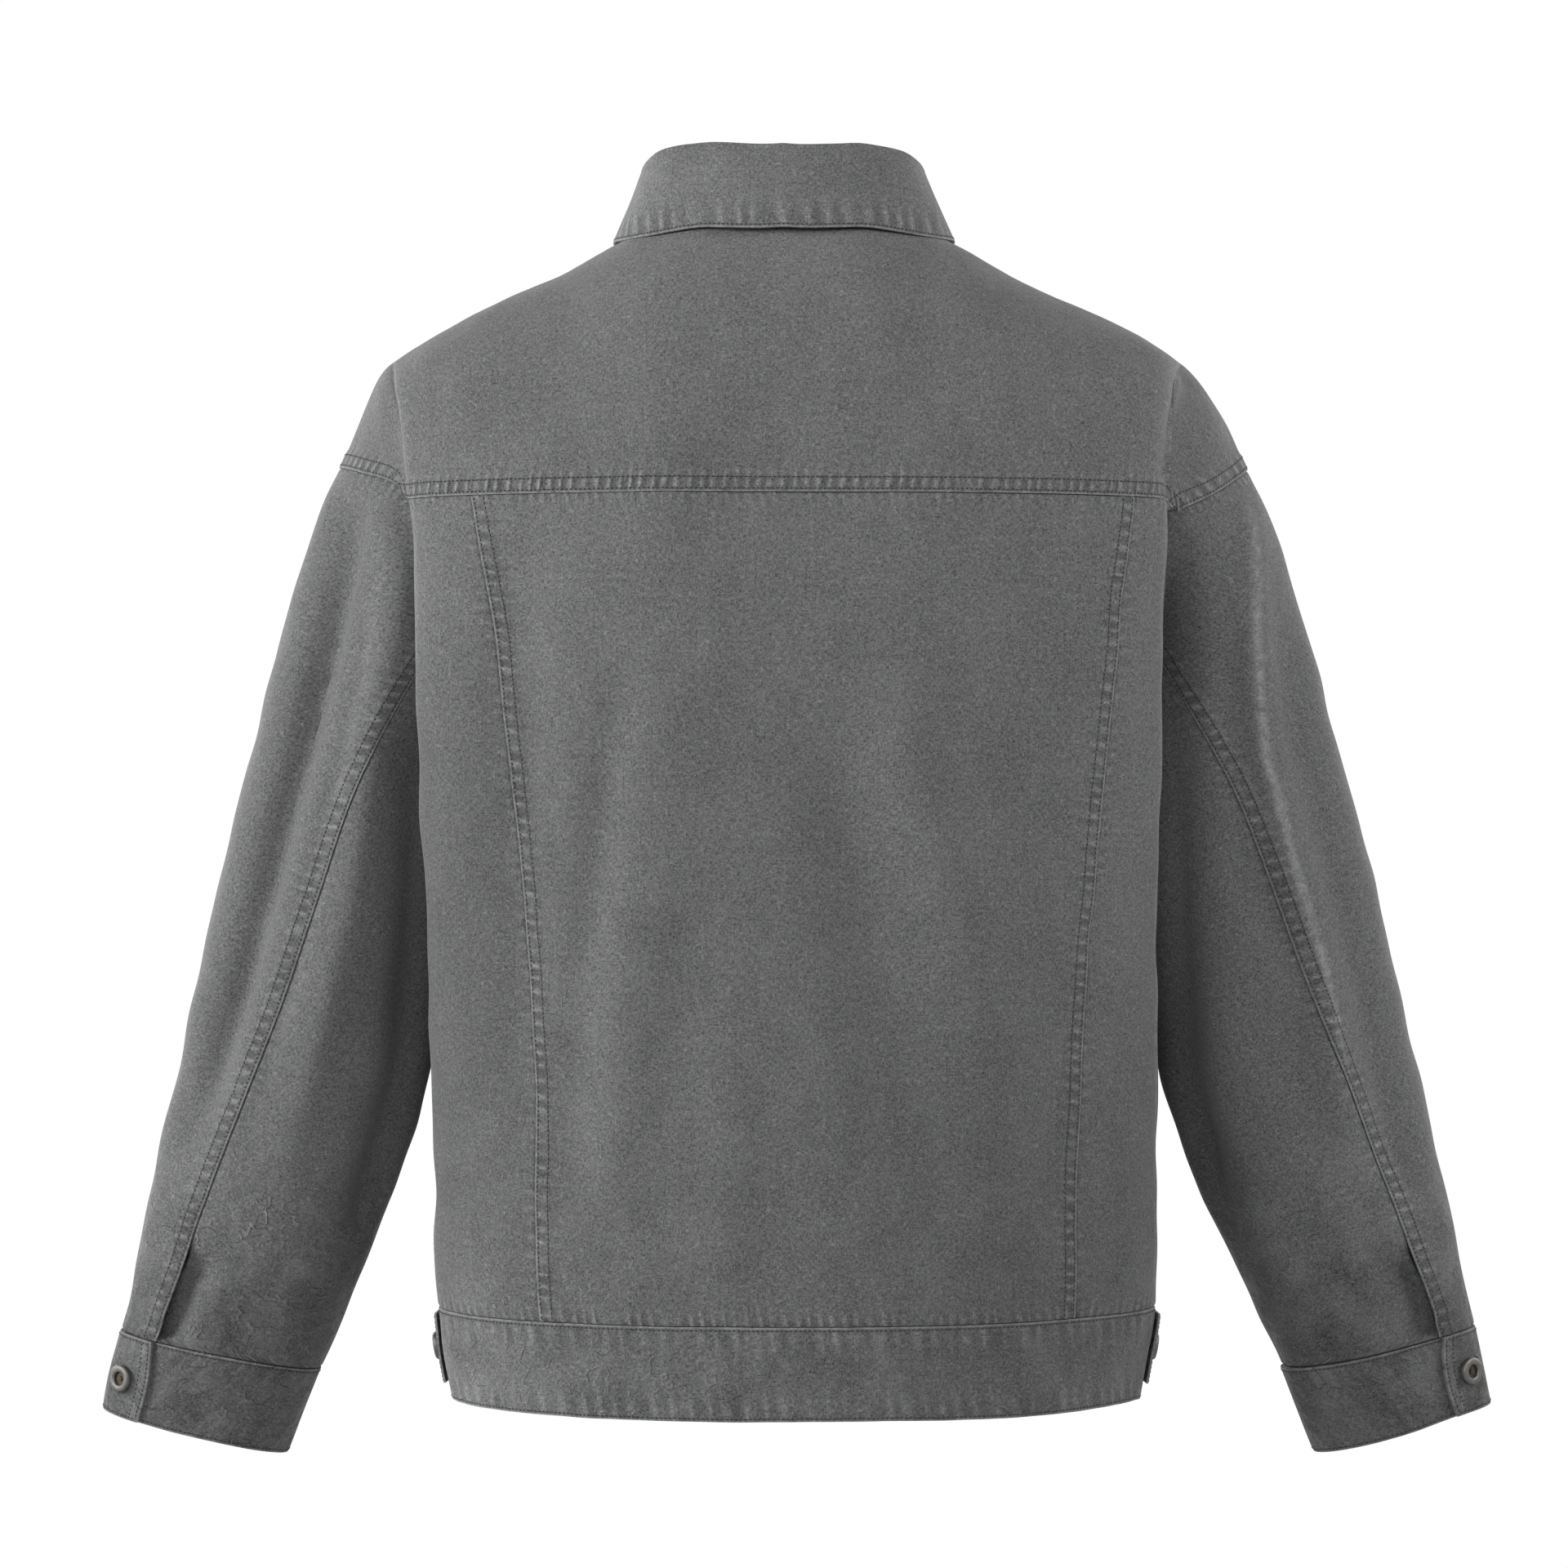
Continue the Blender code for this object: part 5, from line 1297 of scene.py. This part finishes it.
def canvas_finish():
    """Charcoal canvas after washing: weave, crumpling, edges paled by rubbing, puckered sewing and painted
    light and shade.
    """
    made = bpy.data.materials.new("charcoal_canvas")
    made.use_nodes = True
    tree = made.node_tree
    shader = tree.nodes["Principled BSDF"]
    place = node(tree, "UVMap", uv_map="cloth").outputs["UV"]
    x, y, _ = node(tree, "SeparateXYZ", place).outputs
    turned = node(tree, "CombineXYZ", y, x, 0.0).outputs[0]
    weft = grain(tree, place, *WEFT)
    warp = grain(tree, turned, *WARP)
    nap = grain(tree, place, *NAP)
    mottle = grain(tree, place, *MOTTLE)
    cloud = grain(tree, place, *CLOUD)
    tone = 1.0 - sum(GRAIN_TONES) / 2
    for value, weight in zip((weft, warp, nap, mottle, cloud), GRAIN_TONES):
        tone = maths(tree, 'MULTIPLY_ADD', value, weight, tone)
    curl = maths(tree, 'ABSOLUTE', maths(tree, 'SUBTRACT', grain(tree, place, *FIBRE), 0.5))
    fibre = stepped(tree, curl, *FIBRE_STEPS)[0]
    here = stepped(tree, nap, *FIBRE_PLACES)[0]
    tone = maths(tree, 'MULTIPLY_ADD', maths(tree, 'MULTIPLY', fibre, here), FIBRE_TONE, tone)
    crumpled = node(tree, "Attribute", attribute_name="gather").outputs["Vector"]
    crumpled = node(tree, "SeparateXYZ", crumpled).outputs[2]
    fold = grain(tree, place, *CRUMPLE)
    crest = maths(tree, 'ABSOLUTE', maths(tree, 'SUBTRACT', fold, 0.5))
    crest = stepped(tree, crest, *CREST_STEPS)[0]
    breaks = grain(tree, turned, *CRUMPLE_BREAKS)
    broken = stepped(tree, breaks, *BREAK_STEPS)[0]
    crest = maths(tree, 'MULTIPLY', crest, broken)
    lump = maths(tree, 'SUBTRACT', grain(tree, turned, *CRUMPLE_CLOUD), 0.5)
    lump = maths(tree, 'MULTIPLY', lump, CRUMPLE_CLOUD_TONE)
    uneven = maths(tree, 'MULTIPLY_ADD', crest, CREST_TONE, lump)
    tone = maths(tree, 'MULTIPLY_ADD', crumpled, uneven, tone)
    crumple = maths(tree, 'MULTIPLY', crumpled, maths(tree, 'MULTIPLY_ADD', crest, CREST_HEIGHT, fold))
    side = sewing_look(tree, "side", turned, *SIDE_PUCKERS)
    end = sewing_look(tree, "end", place, *END_PUCKERS)
    pucker = maths(tree, 'ADD', side[0], end[0])
    # pale from rubbing at the cuffs, with painted highlights along the folds and crests; its negative part is
    # painted shade
    rub_and_painted_light = node(tree, "Attribute", attribute_name="rub_and_painted_light").outputs["Fac"]
    pale = maths(tree, 'MAXIMUM', maths(tree, 'MAXIMUM', side[1], end[1]), rub_and_painted_light)
    uneven_pale = stepped(tree, mottle, *UNEVEN_PALE_STEPS)[0]
    pale = maths(tree, 'MULTIPLY', pale, uneven_pale)
    # painted shade in the sewing's grooves and beside the folds' pale lines
    painted_shade = maths(tree, 'MAXIMUM', side[2], end[2])
    painted_shade = maths(tree, 'MAXIMUM', painted_shade, maths(tree, 'MULTIPLY', rub_and_painted_light, -1.0))
    # the puckers painted lighter on their crests and darker between: painted highlight and shade, partly
    # paled by rubbing
    tone = maths(tree, 'MULTIPLY', tone, maths(tree, 'MULTIPLY_ADD', pucker, PUCKER_TONE, 1.0))
    # painted light and shade, by height and side, multiplied into the colour
    tone = maths(tree, 'MULTIPLY', tone, node(tree, "Attribute", attribute_name="painted_light_and_shade").outputs["Fac"])
    tone = maths(tree, 'MULTIPLY', tone, maths(tree, 'MULTIPLY_ADD', painted_shade, PAINTED_SHADE_TONE, 1.0))
    tone = maths(tree, 'MULTIPLY_ADD', pale, PALE_TONE, tone)
    colours = [maths(tree, 'MULTIPLY', tone, value) for value in CANVAS_COLOUR]
    tree.links.new(node(tree, "CombineColor", *colours).outputs[0], shader.inputs["Base Color"])
    threads = maths(tree, 'MULTIPLY', weft, WEFT_SHARE), maths(tree, 'MULTIPLY', warp, 1 - WEFT_SHARE)
    weave = node(tree, "Bump", WEAVE_STRENGTH, WEAVE_HEIGHT)
    tree.links.new(maths(tree, 'ADD', *threads), weave.inputs["Height"])
    height = maths(tree, 'MULTIPLY_ADD', crumple, CRUMPLE_HEIGHT / PUCKER_HEIGHT, pucker)
    gather = node(tree, "Bump", 1.0, PUCKER_HEIGHT)
    tree.links.new(height, gather.inputs["Height"])
    tree.links.new(weave.outputs[0], gather.inputs["Normal"])
    tree.links.new(gather.outputs[0], shader.inputs["Normal"])
    shader.inputs["Roughness"].default_value = CANVAS_ROUGHNESS
    shader.inputs["Specular IOR Level"].default_value = CANVAS_SPECULAR
    shader.inputs["Sheen Weight"].default_value = CANVAS_SHEEN
    shader.inputs["Sheen Roughness"].default_value = 0.5
    return made


def plain_grain_finish(name, colour, spread, size, roughness, metallic=0.0, bump=0.0):
    """A finish with a little unevenness of colour and surface, on object coordinates."""
    made = bpy.data.materials.new(name)
    made.use_nodes = True
    tree = made.node_tree
    shader = tree.nodes["Principled BSDF"]
    place = node(tree, "TexCoord").outputs["Object"]
    noise = node(tree, "TexNoise", place)
    noise.inputs["Scale"].default_value = 1 / size
    noise.inputs["Detail"].default_value = 3.0
    tone = maths(tree, 'MULTIPLY_ADD', noise.outputs[0], spread, 1 - spread / 2)
    colours = [maths(tree, 'MULTIPLY', tone, value) for value in colour]
    tree.links.new(node(tree, "CombineColor", *colours).outputs[0], shader.inputs["Base Color"])
    if bump:
        rough = node(tree, "Bump")
        rough.inputs["Distance"].default_value = bump
        rough.inputs["Strength"].default_value = 0.6
        tree.links.new(noise.outputs[0], rough.inputs["Height"])
        tree.links.new(rough.outputs[0], shader.inputs["Normal"])
    shader.inputs["Roughness"].default_value = roughness
    shader.inputs["Metallic"].default_value = metallic
    return made


# ---------------------------------------------------------------------------------------------------
# Ring buttons

def choose(shape, mode, wanted):
    """Select the faces or edges of an edited mesh that a test of their place picks."""
    bpy.ops.mesh.select_mode(type=mode)
    bpy.ops.mesh.select_all(action='DESELECT')
    parts = shape.faces if mode == 'FACE' else shape.edges
    for part in parts:
        corners = np.array([corner.co for corner in part.verts])
        if wanted(corners):
            part.select_set(True)
    shape.select_flush_mode()


def ring_button(finish, sunk_finish):
    """One button, its foot at the origin and its face up: a round ring, a sunk floor and a tack's head."""
    bpy.ops.object.select_all(action='DESELECT')
    bpy.ops.mesh.primitive_cylinder_add(vertices=RING_SIDES, radius=BUTTON_RADIUS, depth=BUTTON_HEIGHT,
                                        location=(0.0, 0.0, BUTTON_HEIGHT / 2))
    button = bpy.context.object
    bpy.ops.object.transform_apply(location=True, rotation=True, scale=True)
    bpy.ops.object.mode_set(mode='EDIT')
    shape = bmesh.from_edit_mesh(button.data)
    top = BUTTON_HEIGHT * RING_TOP
    choose(shape, 'FACE', lambda corners: corners[:, 2].min() > top)
    bpy.ops.mesh.inset(thickness=BUTTON_RADIUS - BUTTON_HOLE, depth=0.0)
    bpy.ops.mesh.extrude_region_move(TRANSFORM_OT_translate={"value": (0.0, 0.0, -BUTTON_HEIGHT * RING_SINK)})
    bpy.ops.mesh.inset(thickness=BUTTON_HOLE * HEAD_INSET, depth=0.0)
    bpy.ops.mesh.extrude_region_move(TRANSFORM_OT_translate={"value": (0.0, 0.0, BUTTON_HEIGHT * HEAD_RISE)})
    shape = bmesh.from_edit_mesh(button.data)

    def ring_edge(corners):
        radius = np.hypot(corners[:, 0], corners[:, 1])
        return corners[:, 2].min() > top and np.ptp(radius) < BUTTON_RADIUS * RING_EVEN

    choose(shape, 'EDGE', ring_edge)
    bpy.ops.mesh.bevel(offset=BUTTON_HEIGHT * RING_ROUND, segments=RING_BEVELS, affect='EDGES')
    bpy.ops.object.mode_set(mode='OBJECT')
    bpy.ops.object.shade_smooth_by_angle(angle=np.radians(SHARP_ANGLE))
    button.data.materials.append(finish)
    button.data.materials.append(sunk_finish)
    for face in button.data.polygons:
        within = np.hypot(*face.center[:2]) < BUTTON_HOLE * SUNK_WITHIN
        if within and BUTTON_FOOT < face.center[2] < BUTTON_HEIGHT * SUNK_BELOW:
            face.material_index = 1
    return button


def place_buttons(first):
    """Copies of the one button, each with its own mesh, where the fastenings are."""
    places = {}
    for k, drop in enumerate(FRONT_BUTTON_DROPS):
        down = front_line(drop + BUTTON_STEP) - front_line(drop - BUTTON_STEP)
        ahead = unit(np.cross(down, np.array([1.0, 0.0, 0.0])))
        ahead = ahead * -np.sign(ahead[1])
        strip = np.array([0.0, -(CLOTH + LAYER_GAP), 0.0])
        places[f"front_button_{k + 1}"] = front_line(drop) + strip + ahead * LAYER_GAP, ahead
    ahead = unit(np.array(BAND_BUTTON_WAY))
    places["band_button"] = front_middle(0.0, BAND_BUTTON_DROP) + ahead * LAYER_GAP, ahead
    for word, side in (("left", 1), ("right", -1)):
        for name, (place, normal) in (("cuff", cuff_button_place()), ("tab", tab_button_place())):
            places[f"{name}_button_{word}"] = (sided(place + normal * LAYER_GAP, side), sided(normal, side))
    for name, (place, normal) in places.items():
        mesh = first.data.copy()
        turn = Vector(normal).to_track_quat('Z', 'Y').to_matrix().to_4x4()
        mesh.transform(Matrix.Translation(Vector(hang(place))) @ turn)
        piece = bpy.data.objects.new(name + "_ring", mesh)
        bpy.context.scene.collection.objects.link(piece)
        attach(piece, "root")
        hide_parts(name)
    bpy.data.objects.remove(first, do_unlink=True)


def tab_button_place():
    """Middle and outward way of the button on the side strap."""
    reach = TAB_BUTTON_REACH
    across = TAB_BUTTON_ACROSS + reach * np.array([0.0, 0.0, -1.0, 1.0])
    down = TAB_DROP + TAB_HEIGHT * (0.5 + reach * np.array([-1.0, 1.0, 0.0, 0.0]))
    grid = waist_tab(across, down)
    normal = unit(np.cross(grid[1] - grid[0], grid[3] - grid[2]))
    normal = normal * np.sign(normal[0])
    return grid[:2].mean(axis=0) + normal * (CLOTH + TAB_LIFT), normal


# ---------------------------------------------------------------------------------------------------
# Studio

def soft_lamp(name, place, target, size, power):
    """A round lamp this wide at a place, turned to its target."""
    lamp = bpy.data.lights.new(name, 'AREA')
    lamp.shape = 'DISK'
    lamp.size = size
    lamp.energy = power
    piece = bpy.data.objects.new(name, lamp)
    piece.location = place
    piece.rotation_euler = (Vector(target) - Vector(place)).to_track_quat('-Z', 'Y').to_euler()
    bpy.context.scene.collection.objects.link(piece)


def seen_directly(tree):
    """1 where the camera looks at it straight, by a mirror or through glass, otherwise 0."""
    path = node(tree, "LightPath").outputs
    seen = maths(tree, 'MAXIMUM', path["Is Camera Ray"], path["Is Glossy Ray"])
    return maths(tree, 'MAXIMUM', seen, path["Is Transmission Ray"])


def studio():
    """White studio: the world, the lamps and the floor."""
    world = bpy.data.worlds.new("studio")
    bpy.context.scene.world = world
    world.use_nodes = True
    tree = world.node_tree
    tree.nodes.clear()
    soft = node(tree, "Background", (1.0, 1.0, 1.0, 1.0), AMBIENT)
    white = node(tree, "Background", (1.0, 1.0, 1.0, 1.0), 1.0)
    both = node(tree, "MixShader", seen_directly(tree), soft.outputs[0], white.outputs[0])
    tree.links.new(both.outputs[0], node(tree, "OutputWorld").inputs[0])
    for lamp in LAMPS:
        soft_lamp(*lamp)
    bpy.ops.object.select_all(action='DESELECT')
    bpy.ops.mesh.primitive_circle_add(vertices=FLOOR_SIDES, radius=FLOOR_RADIUS, fill_type='NGON',
                                      location=(0.0, 0.0, FLOOR_Z))
    floor = bpy.context.object
    floor.name = "studio_floor"
    made = bpy.data.materials.new("studio_white")
    made.use_nodes = True
    tree = made.node_tree
    tree.nodes.clear()
    plain = node(tree, "BsdfDiffuse", (FLOOR_GREY, FLOOR_GREY, FLOOR_GREY, 1.0))
    glow = node(tree, "Emission", (1.0, 1.0, 1.0, 1.0), FLOOR_GLOW)
    lit = node(tree, "MixShader", FLOOR_SHADED, glow.outputs[0], plain.outputs[0])
    both = node(tree, "MixShader", seen_directly(tree), plain.outputs[0], lit.outputs[0])
    tree.links.new(both.outputs[0], node(tree, "OutputMaterial").inputs[0])
    floor.data.materials.append(made)


def camera():
    """A long lens straight behind the jacket, at half its height."""
    lens = bpy.data.cameras.new("camera")
    lens.lens = CAMERA_LENS
    lens.sensor_width = CAMERA_SENSOR
    lens.clip_start = 0.05
    piece = bpy.data.objects.new("camera", lens)
    piece.location = CAMERA_PLACE
    piece.rotation_euler = (np.pi / 2, 0.0, np.pi)
    bpy.context.scene.collection.objects.link(piece)
    bpy.context.scene.camera = piece
    bpy.context.scene.view_settings.view_transform = 'Standard'


# ---------------------------------------------------------------------------------------------------
# Making

def cuff_rub(u, v, points, lengths):
    """Pale over the doubled cloth at a cuff's lapped end."""
    away = lengths[1]
    edge = CUFF_EDGE_RUB * np.exp(-(away / CUFF_EDGE_WIDTH) ** 2)
    wide = CUFF_WIDE_RUB * np.exp(-(away / CUFF_WIDE_WIDTH) ** 2)
    return CUFF_RUB * (1 - blend(*CUFF_RUB_RUN, away)) + edge + wide


def crease_pale_and_shade(places, inset, width):
    """Pale where the body folds in beside the sleeves, this far inside the fold and this wide: part rubbing,
    part painted highlight, with a painted shade line beside it.
    """
    def pale_and_shade_line(u, v, points, lengths):
        found = np.zeros_like(u)
        for place in places:
            away = (lengths[0] - lengths[0][np.argmin(np.abs(u[:, 0] - place))]) * np.sign(place) + inset
            pale = CREASE_PALE * np.exp(-(away / width) ** 2)
            # a painted shade line just outside the pale one, carried as a negative value
            shade_line = CREASE_PAINTED_SHADE * np.exp(-((away - PAINTED_SHADE_PLACE) / PAINTED_SHADE_WIDTH) ** 2)
            found += pale - shade_line
        return found
    return pale_and_shade_line


def slit_lift(u, v, points, lengths):
    """The upper sleeve's edge stands off over the slit above the cuff."""
    lift = SLIT_LIFT * blend(*SLIT_LIFT_START, v) * (1 - blend(*SLIT_LIFT_END, v))
    return lift * (1 - blend(0.0, SLIT_LIFT_RUN, lengths[1]))


def slit_sink(u, v, points, lengths):
    """The under sleeve falls in beside the slit."""
    sink = -SLIT_SINK * blend(*SLIT_SINK_START, v) * (1 - blend(*SLIT_SINK_END, v))
    return sink * (1 - blend(*SLIT_SINK_RUN, lengths[0]))


def tab_lift(u, v, points, lengths):
    """The tab lies on the front and the band, and its free end springs a little further off."""
    return CLOTH + TAB_STAND_OFF + TAB_SPRING * (u / 2) ** 2


finished = []
canvas = canvas_finish()
thread = plain_grain_finish("sewing_thread", (0.026, 0.026, 0.028), spread=0.5, size=0.004, roughness=0.85)
pewter = plain_grain_finish("pewter", (0.120, 0.117, 0.110), spread=0.6, size=0.0022, roughness=0.50,
                            metallic=1.0, bump=0.0001)
tarnished = plain_grain_finish("tarnished_brass", (0.060, 0.050, 0.036), spread=0.6, size=0.0012,
                               roughness=0.55, metallic=1.0)

neck_end = 180.0 - OVERLAP_TURN
tailor("back_yoke", yoke, (-3.0, 3.0), (0.0, 1.0), "lll-", turned=True,
       rub_and_painted_light=crease_pale_and_shade((-2.0, 2.0), *YOKE_PALE_LINE), fine=((-2.0, 2.0), ()))
tailor("back_panel", back_panel, (-1.0, 1.0), (0.0, 1.0), "llug")
tailor("collar_stand", stand, (-neck_end, neck_end), (0.0, 1.0), "----", wall=BAND_CLOTH, turned=True,
       quiet=0.2)
tailor("collar_fall", fall, (-neck_end, neck_end), (0.0, 2.0), "tt-t", quiet=0.5, fine=((), (0.5,)),
       gather=COLLAR_GATHER)
tailor("band_back", band_back, (-2.0, 2.0), (BAND_TOP, HEM_DROP), "--tt", wall=BAND_CLOTH,
       gather=BAND_GATHER)
for word, side in (("left", 1), ("right", -1)):
    tuck = 0.0 if side > 0 else UNDERLAP_DEPTH
    tailor("back_side_" + word, lambda u, v, side=side: back_side(u, v, side), (0.0, 2.0), (0.0, 1.0),
           "ulug", side=side, rub_and_painted_light=crease_pale_and_shade((1.0,), *SIDE_PALE_LINE), fine=((1.0,), ()))
    tailor("front_" + word, lambda u, v, tuck=tuck: front(u, v, tuck), (0.0, 4.0), (0.0, 2.0),
           "l--g", side=side)
    tailor("sleeve_upper_" + word, upper_sleeve, (0.0, 1.0), (0.0, 1.0), "lluu", side=side, turned=True,
           gap=SLEEVE_GAP, shape=slit_lift)
    tailor("sleeve_under_" + word, under_sleeve, (0.0, 1.0), (0.0, 1.0), "uuuu", side=side, turned=True,
           gap=SLEEVE_GAP, shape=slit_sink)
    tailor("cuff_" + word, cuff, (CUFF_END_TURN - CUFF_UNDERLAP_TURN, CUFF_END_TURN + 360.0),
           (CUFF_TOP, CUFF_FOOT), "-dtt", wall=BAND_CLOTH, side=side, turned=True, quiet=0.4,
           rub_and_painted_light=cuff_rub, gather=CUFF_GATHER)
    tailor("band_front_" + word, lambda u, v, tuck=tuck: band_front(u, v, tuck * BAND_TUCK), (0.0, 2.0),
           (BAND_TOP, HEM_DROP), "-ttt", wall=BAND_CLOTH, side=side)
    tailor("waist_tab_" + word, waist_tab, (0.0, 2.0), (TAB_DROP, TAB_DROP + TAB_HEIGHT),
           "tttt", side=side, turned=True, shape=tab_lift)
tailor("front_placket", placket, (0.0, 1.0), (0.0, 2.0), "tt-u", out=CLOTH + LAYER_GAP)
place_buttons(ring_button(pewter, tarnished))
studio()
camera()
